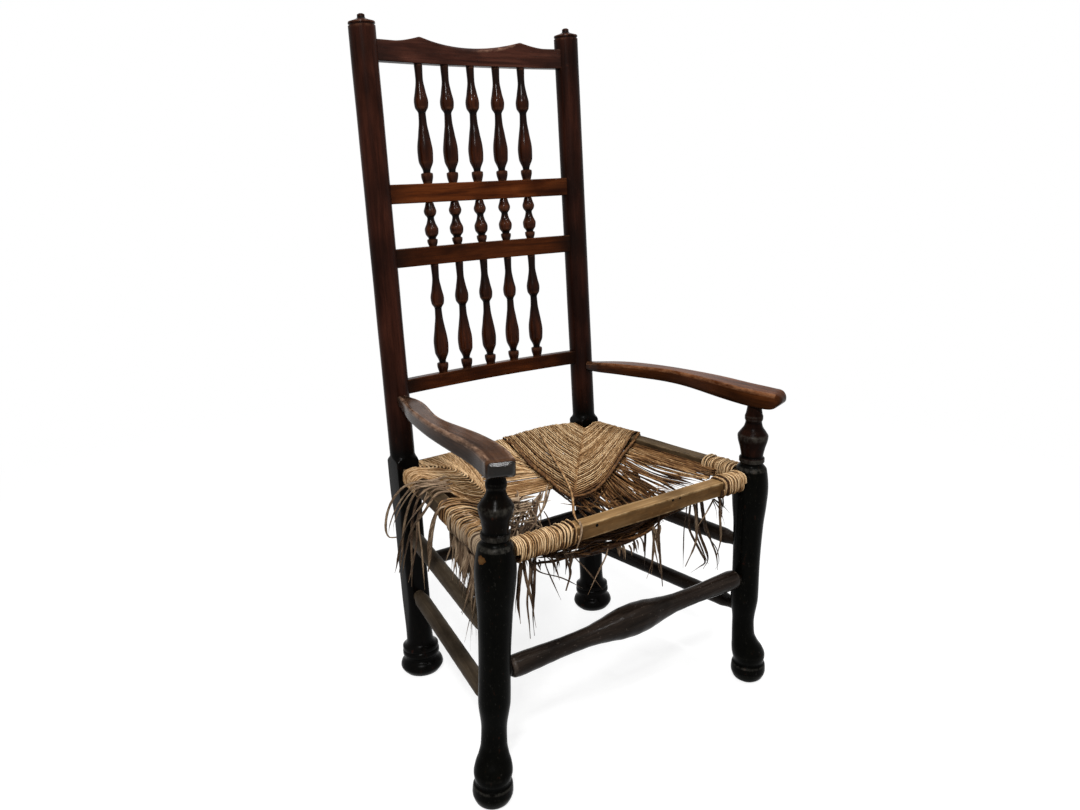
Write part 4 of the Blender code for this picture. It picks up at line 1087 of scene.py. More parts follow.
def weave_wedge(weave):
    """The wedge: strands from the back rail and from the right rail meet in chevrons on its mitre.

    Each strand has an upper run, a turn round its rail and a lower run. The runs bow more towards the tip.
    """
    rng = weave.rng

    def lay(points, free, tones, rail, upper_first, half_height, taper):
        route = smooth_route(points, WOVEN_STEP)
        route[free] += rng.normal(0, WOVEN_STRAY, route[free].shape)
        gone = np.linalg.norm(route - apex, axis=1)
        tone = tone_near(rng, *tones) + edge_tone - MITRE_SHADE * np.clip(1 - gone / MITRE_SHADE_REACH, 0, 1)
        outer = outer_side(route, apex, rail, upper_first)
        half = WEDGE_HALF * (1 - taper * gone / gone.max())
        twist = rng.uniform(*WOVEN_TWISTS)
        weave.add(route, half, half_height, tone, up=outer, twist=twist, crevice=WOVEN_CREVICE_SHADE)

    for i in range(WEDGE_STRANDS):
        share = i / (WEDGE_STRANDS - 1)
        apex = along_curve(WEDGE_MITRE, share)
        below = apex - LAYER_DROP * UP
        edge_tone = -0.30 * np.clip((share - 0.72) / 0.28, 0, 1)
        crown = WEDGE_CROWN * math.sin(math.pi * min(1.0, share * 1.15))
        over = round_back_rail(between(WEDGE_BACK, share), crown + rng.uniform(0, 0.0012))
        middle = over[-1] * 0.5 + apex * 0.5 + WEDGE_BACK_BOW * share**2
        middle[2] -= 0.003 * share + rng.uniform(0, 0.0012)
        near = apex + (middle - apex) * 0.07 + 0.0004 * UP
        dive = apex + np.array((0.0015, -0.001, -0.0055))
        lower = (over[0] + below) / 2 + rng.normal(0, 0.001, 3)
        points = [below, lower, *over, middle, near, dive]
        lay(points, slice(2, -3), (0.87, 0.23), "back_seat_rail", False, 0.0018, 0.0)
        over = round_side_rail("right_seat_rail", between(WEDGE_SIDE, share), rng.uniform(0, 0.0014))
        aside = WEDGE_SIDE_BOW * share**2
        first, second = run_to_rail(apex, over[0], aside)
        lead = apex + (first - apex) * 0.06 + 0.0002 * UP
        drop = apex + np.array((-0.0015, 0.0005, -0.005))
        lower = (over[-1] + below) / 2 + aside + rng.normal(0, 0.001, 3)
        points = [drop, lead, first, second, *over, lower, below]
        lay(points, slice(3, -2), (0.81, 0.24), "right_seat_rail", True, 0.0016, 0.4)


def weave_left(weave):
    """The back left corner: each strand comes over the back rail, bends and goes over the left rail."""
    rng = weave.rng
    for i in range(LEFT_STRANDS):
        share = i / (LEFT_STRANDS - 1)
        apex = along_curve(LEFT_MITRE, share)
        below = apex - LAYER_DROP * UP
        over_back = round_back_rail(between(LEFT_BACK, share), rng.uniform(-0.0045, -0.0035))
        before = apex + (0.1 + 0.9 * share) * LEFT_BEFORE_BEND
        middle = (over_back[-1] + before) / 2 + np.array((0.005 * share, 0.0, -0.0015))
        over_side = round_side_rail("left_seat_rail", between(LEFT_SIDE, share), rng.uniform(-0.001, 0.0))
        aside = LEFT_BOW * share**2
        back_lower = (over_back[0] + below) / 2
        side_lower = (over_side[-1] + below) / 2 + aside
        upper = [*over_back, middle, before, apex, *run_to_rail(apex, over_side[0], aside), *over_side]
        route = smooth_route([below, back_lower, *upper, side_lower, below], 0.0040)
        route[2:-2] += rng.normal(0, WOVEN_STRAY, route[2:-2].shape)
        quarter = len(route) // 4
        upper_part = route[quarter : -len(route) // 4]
        bend = quarter + int(np.argmin(np.linalg.norm(upper_part - apex, axis=1)))
        from_back = outer_side(route[:bend], apex, "back_seat_rail", False)
        to_side = outer_side(route[bend:], apex, "left_seat_rail", True)
        along = np.arange(len(route)) - bend
        half = np.interp(along, (-12, 0, 0.35 * (len(route) - bend)), (0.0013, 0.0021, 0.0009))
        tone = np.clip(tone_near(rng, 0.88, 0.15) - 0.06 * (along > 0), 0, 1)
        outer = np.vstack((from_back, to_side))
        twist = rng.uniform(*WOVEN_TWISTS)
        weave.add(route, half, 0.0017, tone, up=outer, twist=twist, crevice=WOVEN_CREVICE_SHADE)


def edge_cords(weave):
    """The heavier twisted strands that bound the wedge on both sides."""
    tip = WEDGE_MITRE[-1]
    for edge in ((*WEDGE_LEFT_EDGE, tip), (tip, *WEDGE_RIGHT_EDGE)):
        route = smooth_route([at(*point) for point in edge], EDGE_STEP)
        wound = EDGE_TWIST * (np.arange(len(route)) * EDGE_STEP)
        for phase in (0.0, math.pi):
            ply = np.stack((np.cos(wound + phase), np.sin(wound + phase) * 0.6, np.zeros(len(route))), axis=1)
            tone = tone_near(weave.rng, 0.33, 0.04)
            weave.add(route + 0.0016 * ply, 0.0022, 0.0020, tone, twist=EDGE_TWIST)


# Strands that cross from under the left weave and gather under the wedge's left edge: start and end of each
# of five leading strands, between which the others lie
BAND_STRANDS = 46
BAND_START = (
    (-0.0800, 0.3740, 0.3865), (-0.1050, 0.3250, 0.3860), (-0.1400, 0.2620, 0.3850),
    (-0.1650, 0.2150, 0.3840), (-0.1800, 0.1850, 0.3830),
)
BAND_END = (
    (-0.0020, 0.3250, 0.3840), (-0.0120, 0.2620, 0.3830), (-0.0180, 0.2320, 0.3820),
    (-0.0250, 0.2050, 0.3810), (-0.0300, 0.1800, 0.3800),
)
# Strands over the middle of the back rail, which end under the wedge's left edge: x on the rail, and end
MIDDLE_STRANDS = 20
MIDDLE_BACK = (-0.0780, 0.0080)
MIDDLE_END = ((-0.0180, 0.2300, 0.3830), (-0.0020, 0.2900, 0.3840))
# Strands that come from inside the seat over the left rail, behind the front leg
COVER_STRANDS = 20


def weave_band(weave):
    """The strands between the two corners and those over the left rail."""
    rng = weave.rng
    for i in range(BAND_STRANDS):
        share = i / (BAND_STRANDS - 1)
        start = along_curve(BAND_START, share) + rng.normal(0, 0.0012, 3)
        end = along_curve(BAND_END, share) + rng.normal(0, 0.0012, 3)
        aside = np.array((0.0, -0.006 * (1 - share), 0.002 - 0.003 * share))
        route = smooth_route([start, (start + end) / 2 + aside, end], 0.005)
        half, tone = rng.uniform(0.0014, 0.0022), tone_near(rng, 0.70, 0.16)
        weave.add(route, half, 0.0016, tone, twist=rng.uniform(80, 160), crevice=WOVEN_CREVICE_SHADE)
    for i in range(MIDDLE_STRANDS):
        share = i / (MIDDLE_STRANDS - 1)
        over = round_back_rail(between(MIDDLE_BACK, share), rng.uniform(-0.002, 0.0))
        end = along_curve(MIDDLE_END, share) + rng.normal(0, 0.0012, 3)
        route = smooth_route([*over, over[-1] * 0.5 + end * 0.5 - 0.003 * UP, end], 0.005)
        outer = outer_side(route, end, "back_seat_rail", False)
        weave.add(route, 0.0018, 0.0018, tone_near(rng, 0.74, 0.14), up=outer, crevice=WOVEN_CREVICE_SHADE)
    for i in range(COVER_STRANDS):
        share = (i + rng.uniform(-0.3, 0.3)) / (COVER_STRANDS - 1)
        over = round_side_rail("left_seat_rail", 0.180 - 0.125 * share, rng.uniform(0.0, 0.0030))
        inside = at(-0.172 - 0.050 * share, 0.189 - 0.108 * share, 0.387) + rng.normal(0, 0.002, 3)
        rise = inside * 0.45 + over[0] * 0.55 + (0.0025 + rng.uniform(0, 0.002)) * UP
        route = smooth_route([inside, rise, *over], WOVEN_STEP)
        outer = outer_side(route, inside, "left_seat_rail", True)
        half, tone = rng.uniform(0.0014, 0.0020), tone_near(rng, 0.72, 0.15)
        weave.add(route, half, 0.0017, tone, up=outer, crevice=WOVEN_CREVICE_SHADE)


# Torn strands behind the left arm's support. Fringe: from the left weave to ragged ends in the open middle;
# ribbons: from under the wedge and from the fringe down to the front rail; bits lie anywhere between
FRINGE_START = ((-0.186, 0.190, 0.3830), (-0.200, 0.160, 0.3820), (-0.212, 0.130, 0.3810))
FRINGE_END = ((-0.080, 0.172, 0.3800), (-0.098, 0.146, 0.3790), (-0.130, 0.118, 0.3780))
RIBBON_START = (
    (-0.022, 0.196, 0.3800), (-0.050, 0.176, 0.3800), (-0.092, 0.152, 0.3800), (-0.112, 0.140, 0.3800),
)
RIBBON_END = ((-0.150, 0.064, 0.3730), (-0.172, 0.058, 0.3750), (-0.198, 0.052, 0.3790))
BIT_MIDDLE = ((-0.128, 0.176, 0.3840), (-0.138, 0.136, 0.3820), (-0.160, 0.085, 0.3800))

# The clump that sags under the front rail, dark rush that near the rail also stands for the painted shade
# under it: its lower edge, in x and z, and its top
CLUMP_LOW = (
    (-0.215, 0.361), (-0.165, 0.354), (-0.120, 0.347), (-0.060, 0.339), (-0.010, 0.335),
    (0.018, 0.337), (0.040, 0.350), (0.070, 0.359), (0.130, 0.368),
)
CLUMP_TOP = 0.379

# Spokes that fan from under the wedge's right edge to the front rail: their starts and their ends
SPOKE_START = ((0.166, 0.230, 0.385), (0.130, 0.204, 0.384), (0.088, 0.182, 0.382), (0.050, 0.158, 0.380))
SPOKE_END = ((0.186, 0.052, 0.386), (0.128, 0.045, 0.384), (0.060, 0.036, 0.380), (0.000, 0.030, 0.376))


# Each of these draws a count of torn strands, one after the other: the points and half the width of each


def fringe(rng, count):
    for _ in range(count):
        share = rng.uniform(0, 1)
        start = along_curve(FRINGE_START, share) + rng.normal(0, 0.002, 3)
        end = along_curve(FRINGE_END, share + rng.normal(0, 0.1)) + rng.normal(0, (0.016, 0.006, 0.004))
        middle = (start + end) / 2 + rng.normal(0, 0.003, 3)
        yield [start, middle, end], rng.uniform(0.0011, 0.0021)


def ribbons(rng, count):
    for _ in range(count):
        start = along_curve(RIBBON_START, rng.uniform(0, 1) ** 0.8) + rng.normal(0, 0.003, 3)
        end = along_curve(RIBBON_END, rng.uniform(0, 1)) + rng.normal(0, 0.003, 3)
        middle = (start + end) / 2 + (rng.normal(0, (0.006, 0.008, 0.003)) - 0.006 * UP)
        yield [start, middle, end], rng.uniform(0.0011, 0.0025)


def bits(rng, count):
    for _ in range(count):
        middle = along_curve(BIT_MIDDLE, rng.uniform(0, 1)) + rng.normal(0, (0.016, 0.012, 0.004))
        turned = rng.uniform(0, math.pi)
        way = np.array((math.cos(turned), math.sin(turned), rng.uniform(-0.6, 0.2)))
        reach = way * rng.uniform(0.006, 0.024)
        half = rng.uniform(0.0010, 0.0024)
        yield [middle - reach, middle + rng.normal(0, 0.003, 3), middle + reach], half


def forward_strands(rng, count):
    """The torn lower layer, which runs forward under the wedge and sags to the front rail."""
    for _ in range(count):
        x = rng.uniform(-0.015, 0.15)
        start = at(x + rng.normal(0, 0.010), rng.uniform(0.16, 0.28), rng.uniform(0.374, 0.380))
        end = at(0.70 * x - 0.012 + rng.normal(0, 0.022), rng.uniform(0.012, 0.05), rng.uniform(0.346, 0.374))
        middle = (start + end) / 2 + np.array((rng.normal(0, 0.009), 0, rng.uniform(-0.014, 0.002)))
        yield [start, middle, end], rng.uniform(0.0012, 0.0028)


def strays(rng, count):
    """Short ends that lie any way in the lower layer."""
    for _ in range(count):
        start = at(rng.uniform(0.00, 0.13), rng.uniform(0.05, 0.16), rng.uniform(0.362, 0.378))
        end = start + np.array((rng.normal(0, 0.035), rng.normal(-0.01, 0.03), rng.uniform(-0.01, 0.010)))
        middle = (start + end) / 2 + rng.normal(0, 0.006, 3)
        yield [start, middle, end], rng.uniform(0.0008, 0.0016)


def clump(rng, count):
    low_x, low_z = np.transpose(CLUMP_LOW)
    for _ in range(count):
        from_x = rng.uniform(low_x[0], 0.03)
        xs = np.linspace(from_x, min(from_x + rng.uniform(0.05, 0.17), low_x[-1]), 5)
        low = np.interp(xs, low_x, low_z)
        zs = low + rng.uniform(0.0, 1.0) ** 0.8 * (CLUMP_TOP - low) + rng.normal(0, 0.002, 5)
        y = rng.uniform(0.006, 0.032)
        half = rng.uniform(0.0012, 0.0028)
        yield [at(x, y + rng.normal(0, 0.003), z) for x, z in zip(xs, zs)], half


def spokes(rng, count):
    for i in range(count):
        share = np.clip((i + rng.uniform(-0.4, 0.4)) / (count - 1), 0, 1)
        start = along_curve(SPOKE_START, share)
        end = along_curve(SPOKE_END, share) + rng.normal(0, (0.012, 0.008, 0.004))
        middle = (start + end) / 2 + np.array((rng.normal(0, 0.004), 0, rng.uniform(-0.010, 0.0)))
        yield [start, middle, end], rng.uniform(0.0009, 0.0024)


def strew(strands, draw, count, step, flat, tones, most_spin, fray, crevice=0.8):
    """Add a count of torn strands that draw makes.

    step is that along a route, flat the section's height over its width, tones their middle and spread, and
    most_spin the limit of a random spin. spin, fray and crevice are as in Strands.add.
    """
    rng = strands.rng
    for points, half in draw(rng, count):
        tone, spin = tone_near(rng, *tones), rng.uniform(-most_spin, most_spin)
        route = smooth_route(points, step)
        strands.add(route, half, half * flat, tone, spin=spin, fray=fray, crevice=crevice)


# Strands along the right rail's inner side, and upper spokes that fan from the wedge's edge to the front rail
RAIL_SIDE_STRANDS = 12
UPPER_SPOKES = 22


def right_fan(fan):
    """The strands beside the right rail."""
    rng = fan.rng
    rail = RAILS["right_seat_rail"]
    for i in range(RAIL_SIDE_STRANDS):
        inward = SEAT_RAIL_HALF_WIDTH + 0.0022 + 0.0024 * i
        points = [
            rail.place(distance, -inward + rng.normal(0, 0.0006), 0.0015 - 0.0006 * i + rng.normal(0, 0.0005))
            for distance in np.linspace(0.055 + 0.003 * i, 0.262 - 0.004 * i, 6)
        ]
        route, tone = smooth_route(points, 0.006), tone_near(rng, 0.38, 0.10)
        fan.add(route, 0.0026, 0.0015, tone, twist=40, crevice=0.85)
    for i in range(UPPER_SPOKES):
        share = i / (UPPER_SPOKES - 1)
        start = at(0.214 - 0.056 * share, 0.252 - 0.026 * share, 0.389 - 0.004 * share)
        start += rng.normal(0, 0.001, 3)
        end = at(0.232 - 0.036 * share, 0.058 - 0.010 * share, 0.392 - 0.006 * share)
        end += rng.normal(0, 0.002, 3)
        middle = (start + end) / 2 + np.array((rng.normal(0, 0.003), 0, rng.uniform(-0.005, 0.001)))
        half = rng.uniform(0.0010, 0.0021) + 0.0012 * max(0.0, 1 - 2 * share)
        route = smooth_route([start, middle, end], 0.006)
        tone, spin = tone_near(rng, 0.52, 0.18), rng.uniform(-6, 6)
        fan.add(route, half, 0.0014, tone, spin=spin, crevice=WOVEN_CREVICE_SHADE)


# Leaves: steps along one, how fast its weight bends it down, its curl, its half thickness as a share of its
# width, and the outer sides of a leaf in a bunch and of a single one
LEAF_STEPS = 7
LEAF_WEIGHT = 0.5
LEAF_CURL = 0.16
LEAF_THICKNESS = 0.16
LEAF_UP = (0.6, 0.5, 0.2)
SINGLE_UP = (-0.8, -0.3, 0.5)


def leaf(leaves, root, lean, length, width, tone):
    """A limp leaf that leaves its root along lean, bends down under its weight and curls a little."""
    rng = leaves.rng
    heading = unit(np.asarray(lean, float))
    place = np.asarray(root, float)
    route = [place]
    sway = rng.normal(0, LEAF_CURL, 3) * np.array((1, 1, 0.3))
    for _ in range(LEAF_STEPS):
        heading = unit(heading + LEAF_WEIGHT * DOWN + 0.4 * sway + rng.normal(0, LEAF_CURL * 0.6, 3))
        place = place + heading * length / LEAF_STEPS
        route.append(place)
    fray = (0, rng.uniform(0.25, 0.6) * length)
    spin = rng.uniform(-22, 22)
    route = smooth_route(route, 0.006)
    thick = width * LEAF_THICKNESS
    leaves.add(route, width / 2, thick, tone, up=LEAF_UP, spin=spin, fray=fray, crevice=0.3)


# Bunches of torn leaves: count, where their roots lie between two points, the way they leave, their lengths,
# widths and tone
BUNCHES = (
    (54, (-0.254, 0.060, 0.376), (-0.235, 0.165, 0.372), (0.14, -0.15, -1.0),
     (0.04, 0.09), (0.0024, 0.0056), 0.60),
    (44, (-0.250, 0.040, 0.372), (-0.236, 0.105, 0.370), (0.06, -0.05, -1.0),
     (0.08, 0.16), (0.0024, 0.0056), 0.50),
    (5, (-0.212, 0.004, 0.372), (-0.188, 0.006, 0.372), (-0.05, -0.05, -1.0),
     (0.09, 0.15), (0.0040, 0.0060), 0.34),
    (14, (-0.210, 0.000, 0.370), (-0.118, 0.006, 0.364), (0.80, -0.10, -0.4),
     (0.015, 0.05), (0.0020, 0.0044), 0.18),
    (5, (0.034, 0.012, 0.354), (0.062, 0.016, 0.344), (0.05, 0.00, -1.0),
     (0.06, 0.10), (0.0026, 0.0046), 0.42),
    (6, (0.034, 0.010, 0.356), (0.060, 0.012, 0.350), (0.10, -0.40, -0.8),
     (0.010, 0.020), (0.0028, 0.0050), 0.66),
    (9, (-0.030, 0.006, 0.342), (0.020, 0.010, 0.342), (0.60, -0.30, -0.4),
     (0.012, 0.030), (0.0026, 0.0046), 0.52),
    (5, (0.184, 0.010, 0.366), (0.206, 0.012, 0.366), (0.30, 0.00, -0.8),
     (0.020, 0.045), (0.0014, 0.0022), 0.14),
    (12, (-0.150, 0.130, 0.380), (-0.095, 0.110, 0.378), (0.10, -0.60, -0.5),
     (0.04, 0.10), (0.0018, 0.0040), 0.62),
)
# Single leaves over the left rail and strands below the front rail: width, tone and route
SINGLE_LEAVES = (
    (0.0046, 0.52, ((-0.196, 0.270, 0.4030), (-0.226, 0.268, 0.4052), (-0.246, 0.276, 0.3990),
                    (-0.255, 0.312, 0.3570), (-0.258, 0.340, 0.3120), (-0.256, 0.352, 0.2840))),
    (0.0040, 0.58, ((-0.190, 0.258, 0.4020), (-0.222, 0.257, 0.4052), (-0.245, 0.266, 0.4000),
                    (-0.252, 0.300, 0.3620), (-0.254, 0.330, 0.3200), (-0.252, 0.340, 0.2960))),
    (0.0050, 0.46, ((-0.196, 0.236, 0.4020), (-0.226, 0.232, 0.4060), (-0.250, 0.240, 0.3780),
                    (-0.253, 0.280, 0.3350), (-0.253, 0.312, 0.2850), (-0.252, 0.334, 0.2360),
                    (-0.252, 0.344, 0.2170))),
    (0.0044, 0.44, ((-0.200, 0.222, 0.4020), (-0.230, 0.216, 0.4060), (-0.250, 0.224, 0.3770),
                    (-0.251, 0.268, 0.3300), (-0.250, 0.302, 0.2690), (-0.250, 0.320, 0.2130))),
    (0.0034, 0.40, ((-0.204, 0.232, 0.4020), (-0.230, 0.230, 0.4060), (-0.249, 0.246, 0.3640),
                    (-0.250, 0.258, 0.3050), (-0.250, 0.286, 0.2380), (-0.250, 0.296, 0.2190))),
    (0.0028, 0.62, ((-0.236, 0.238, 0.4030), (-0.249, 0.246, 0.3560), (-0.250, 0.238, 0.3000),
                    (-0.250, 0.234, 0.2340))),
    (0.0050, 0.40, ((-0.214, 0.186, 0.4040), (-0.238, 0.180, 0.4085), (-0.254, 0.186, 0.3780),
                    (-0.254, 0.204, 0.3300), (-0.252, 0.212, 0.2860))),
    (0.0048, 0.30, ((-0.196, 0.004, 0.3700), (-0.176, 0.008, 0.3430), (-0.134, 0.010, 0.3190),
                    (-0.094, 0.010, 0.2890))),
    (0.0026, 0.28, ((-0.126, 0.006, 0.3680), (-0.110, 0.010, 0.3460), (-0.084, 0.010, 0.3140),
                    (-0.054, 0.010, 0.2730))),
    (0.0026, 0.50, ((-0.044, 0.012, 0.3480), (-0.050, 0.010, 0.3300), (-0.068, 0.010, 0.3020),
                    (-0.084, 0.010, 0.2740))),
    (0.0028, 0.24, ((-0.168, 0.006, 0.3640), (-0.164, 0.008, 0.3480), (-0.152, 0.010, 0.3210),
                    (-0.135, 0.010, 0.2820))),
    (0.0026, 0.20, ((0.128, 0.020, 0.3660), (0.137, 0.030, 0.3400), (0.1443, 0.040, 0.3100),
                    (0.1466, 0.040, 0.2380))),
    (0.0042, 0.22, ((0.136, 0.020, 0.3660), (0.150, 0.035, 0.3300), (0.1586, 0.040, 0.3043),
                    (0.1850, 0.040, 0.2600), (0.2000, 0.040, 0.2340), (0.1860, 0.040, 0.2280),
                    (0.1660, 0.040, 0.2230))),
    (0.0052, 0.18, ((0.150, 0.020, 0.3660), (0.170, 0.035, 0.3200), (0.1832, 0.040, 0.2900),
                    (0.2060, 0.040, 0.2400), (0.1955, 0.040, 0.2210))),
    (0.0046, 0.24, ((0.152, 0.022, 0.3660), (0.176, 0.044, 0.3000), (0.1960, 0.044, 0.2550),
                    (0.2124, 0.044, 0.2237))),
    (0.0056, 0.20, ((0.160, 0.020, 0.3660), (0.185, 0.035, 0.3150), (0.2004, 0.040, 0.2852),
                    (0.2300, 0.044, 0.2500), (0.2410, 0.046, 0.2206), (0.2330, 0.046, 0.2059))),
    (0.0040, 0.34, ((0.165, 0.022, 0.3660), (0.190, 0.036, 0.3150), (0.2136, 0.044, 0.2720),
                    (0.2330, 0.046, 0.2350), (0.2390, 0.046, 0.2030))),
    (0.0030, 0.62, ((0.1800, 0.010, 0.3690), (0.1613, 0.010, 0.3445), (0.1399, 0.010, 0.3229))),
    (0.0022, 0.12, ((0.1800, 0.010, 0.3690), (0.2009, 0.010, 0.3510), (0.2200, 0.012, 0.3490))),
    (0.0022, 0.12, ((0.1800, 0.010, 0.3690), (0.2050, 0.010, 0.3490), (0.2250, 0.014, 0.3300))),
    (0.0022, 0.14, ((0.1780, 0.010, 0.3690), (0.1960, 0.010, 0.3450), (0.2111, 0.010, 0.3129))),
    (0.0022, 0.14, ((0.1760, 0.010, 0.3690), (0.1860, 0.010, 0.3500), (0.1904, 0.010, 0.3300))),
    (0.0042, 0.56, ((-0.113, -0.004, 0.4105), (-0.117, -0.0150, 0.4040), (-0.122, -0.0168, 0.3880),
                    (-0.129, -0.0150, 0.3720), (-0.140, -0.0040, 0.3660))),
)


def torn_leaves(leaves):
    """The bunches of leaves, and then the single ones."""
    rng = leaves.rng
    for count, first, last, lean, lengths, widths, tone in BUNCHES:
        for _ in range(count):
            share = rng.uniform(0, 1)
            root = at(*(np.array(first) * (1 - share) + np.array(last) * share)) + rng.normal(0, 0.003, 3)
            way = np.array(lean) + rng.normal(0, 0.22, 3) * np.array((1, 1, 0.4))
            leaf(leaves, root, way, rng.uniform(*lengths), rng.uniform(*widths), tone_near(rng, tone, 0.12))
    for width, tone, points in SINGLE_LEAVES:
        route = smooth_route([at(*point) for point in points], 0.005)
        spin = rng.uniform(-10, 10)
        thick = width * LEAF_THICKNESS
        leaves.add(route, width / 2, thick, tone, up=SINGLE_UP, spin=spin, fray=(0, 0.04), crevice=0.4)


# Windings left on the rails: rail, distance of the first turn from its start, turns, way along it, and how
# many turns at the end have worked loose
WRAP_PITCH = 0.0066
WRAP_FIRST = 0.0290
WRAP_SQUARENESS = 3.2
WRAP_STEPS = 26
WINDINGS = {
    "rush_winding_front_left": ("front_seat_rail", WRAP_FIRST, 16, 1, 5),
    "rush_winding_front_right": ("front_seat_rail", RAILS["front_seat_rail"].length - WRAP_FIRST, 8, -1, 3),
    "rush_winding_left": ("left_seat_rail", WRAP_FIRST, 18, 1, 6),
    "rush_winding_right": ("right_seat_rail", WRAP_FIRST, 10, 1, 3),
}
# Layers of a winding: how far off the rail, place along the pitch, half width, half height and tone
WRAP_PLIES = (
    (0.0036, -0.25, 0.0014, 0.0018, 0.92),
    (0.0034, 0.25, 0.0012, 0.0017, 0.78),
    (0.0018, 0.00, 0.0030, 0.0014, 0.12),
)


def wind(node):
    """A pair of strands wound round a rail, turn beside turn and uneven, over a first thinner layer."""
    rail_name, first, turns, way, slack = WINDINGS[node]
    rail = RAILS[rail_name]
    wound = Strands(node + "_strands")
    rng = wound.rng
    for lift, lag, half_width, half_height, tone in WRAP_PLIES:
        turn_at = np.arange(turns * WRAP_STEPS + 1) / WRAP_STEPS
        loose = np.clip((turn_at - (turns - slack)) / slack, 0, 1) * (lift > 0.003)
        angle = 2 * math.pi * turn_at
        x, y = np.cos(angle), np.sin(angle)
        size = (np.abs(x) ** WRAP_SQUARENESS + np.abs(y) ** WRAP_SQUARENESS) ** (-1 / WRAP_SQUARENESS)
        phases = rng.uniform(0, 6.3, 5)
        off = lift + 0.0007 * np.sin(2.7 * turn_at + phases[0]) + 0.0004 * np.sin(11 * turn_at + phases[4])
        off = off + 0.0012 * loose * (1 + np.sin(5.1 * turn_at + phases[3]))
        off = off - 0.0022 * (lag > 0) * (loose > 0)
        across = (SEAT_RAIL_HALF_WIDTH + off) * x * size
        up = (SEAT_RAIL_HALF_HEIGHT + off) * y * size
        wander = 0.0004 * np.sin(1.9 * turn_at + phases[1]) + 0.0003 * np.sin(5.3 * turn_at + phases[2])
        travel = first + way * WRAP_PITCH * (turn_at + lag) + wander * (1 + 4 * loose)
        route = rail.start + travel[:, None] * rail.along
        route = route + across[:, None] * rail.across + up[:, None] * rail.up
        outward = x[:, None] * rail.across + y[:, None] * rail.up
        shift = np.repeat(rng.normal(0, 0.13, turns + 1), WRAP_STEPS)[: len(turn_at)]
        # Painted shade: the turns are darker on the rail's underside.
        tones = np.clip(tone + shift - 0.10 * loose - 0.45 * np.clip(-y, 0, 1), 0.05, 1.0)
        wound.add(route, half_width, half_height, tones, up=outward, twist=190, crevice=0.92)
    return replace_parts(wound.piece(TORN_RUSH if node == "rush_winding_left" else RUSH), node)


# Loose strands, routes as in the part's source, and the bundle that sags under the front rail
STRAND_DIAMETER = 0.0044
BUNDLE_DIAMETER = 0.0100
BUNDLE_PLIES = 5
BUNDLE_TWIST = 90
LOOSE_ROUTES = {
    "loose_strand_left_loop": (
        (-0.178, 0.281, 0.4026), (-0.206, 0.279, 0.4030), (-0.228, 0.284, 0.4042),
        (-0.246, 0.297, 0.3960), (-0.258, 0.316, 0.3720), (-0.264, 0.333, 0.3400),
        (-0.265, 0.342, 0.3080), (-0.259, 0.345, 0.2880), (-0.247, 0.340, 0.2860),
    ),
    "loose_strand_left_back": (
        (-0.180, 0.264, 0.4026), (-0.206, 0.262, 0.4030), (-0.226, 0.263, 0.4036),
        (-0.243, 0.270, 0.3900), (-0.250, 0.286, 0.3550), (-0.252, 0.301, 0.3100),
        (-0.251, 0.313, 0.2650), (-0.252, 0.326, 0.2250),
    ),
    "loose_strand_left_middle": (
        (-0.184, 0.248, 0.4026), (-0.207, 0.247, 0.4034), (-0.228, 0.248, 0.4042),
        (-0.244, 0.253, 0.3900), (-0.250, 0.266, 0.3500), (-0.249, 0.277, 0.3050),
        (-0.247, 0.284, 0.2550), (-0.248, 0.287, 0.2150),
    ),
    "loose_strand_left_front": (
        (-0.2160, 0.166, 0.4051), (-0.2400, 0.167, 0.4060), (-0.2530, 0.171, 0.3985),
        (-0.2580, 0.182, 0.3600), (-0.2550, 0.197, 0.3200), (-0.2530, 0.212, 0.2780),
    ),
    "loose_strand_inner_left": (
        (-0.2290, 0.118, 0.3738), (-0.2245, 0.121, 0.3350), (-0.2220, 0.119, 0.2900),
        (-0.2215, 0.112, 0.2500), (-0.2230, 0.100, 0.2150),
    ),
    "loose_strand_front_left": (
        (-0.196, 0.002, 0.3770), (-0.195, 0.004, 0.3450), (-0.199, 0.006, 0.3050),
        (-0.193, 0.010, 0.2620), (-0.190, 0.012, 0.2350),
    ),
    "loose_strand_front_inner": (
        (-0.1400, 0.002, 0.3772), (-0.1300, 0.003, 0.3500), (-0.1210, 0.006, 0.3250),
        (-0.1260, 0.010, 0.2950),
    ),
    "loose_strand_front_middle": (
        (0.050, 0.003, 0.3830), (0.053, 0.004, 0.3400), (0.061, 0.006, 0.2900),
        (0.072, 0.010, 0.2400),
    ),
    "loose_strand_front_right": (
        (0.125, 0.003, 0.3824), (0.137, 0.006, 0.3450), (0.143, 0.010, 0.3000),
        (0.126, 0.014, 0.2580),
    ),
    "loose_strand_right": (
        (0.186, 0.003, 0.3769), (0.193, 0.006, 0.3350), (0.203, 0.010, 0.2900),
        (0.198, 0.012, 0.2580),
    ),
    "loose_strand_across": (
        (0.070, 0.362, 0.4085), (0.024, 0.262, 0.4080), (-0.010, 0.185, 0.4078),
        (-0.046, 0.108, 0.4064), (-0.075, 0.062, 0.4068), (-0.098, 0.030, 0.4086),
        (-0.110, 0.008, 0.4092), (-0.114, -0.005, 0.4092),
    ),
    "rush_sagging_bundle": (
        (-0.172, 0.010, 0.3733), (-0.140, 0.019, 0.3540), (-0.085, 0.025, 0.3370),
        (-0.030, 0.026, 0.3340), (0.012, 0.020, 0.3500), (0.022, 0.008, 0.3803),
    ),
}


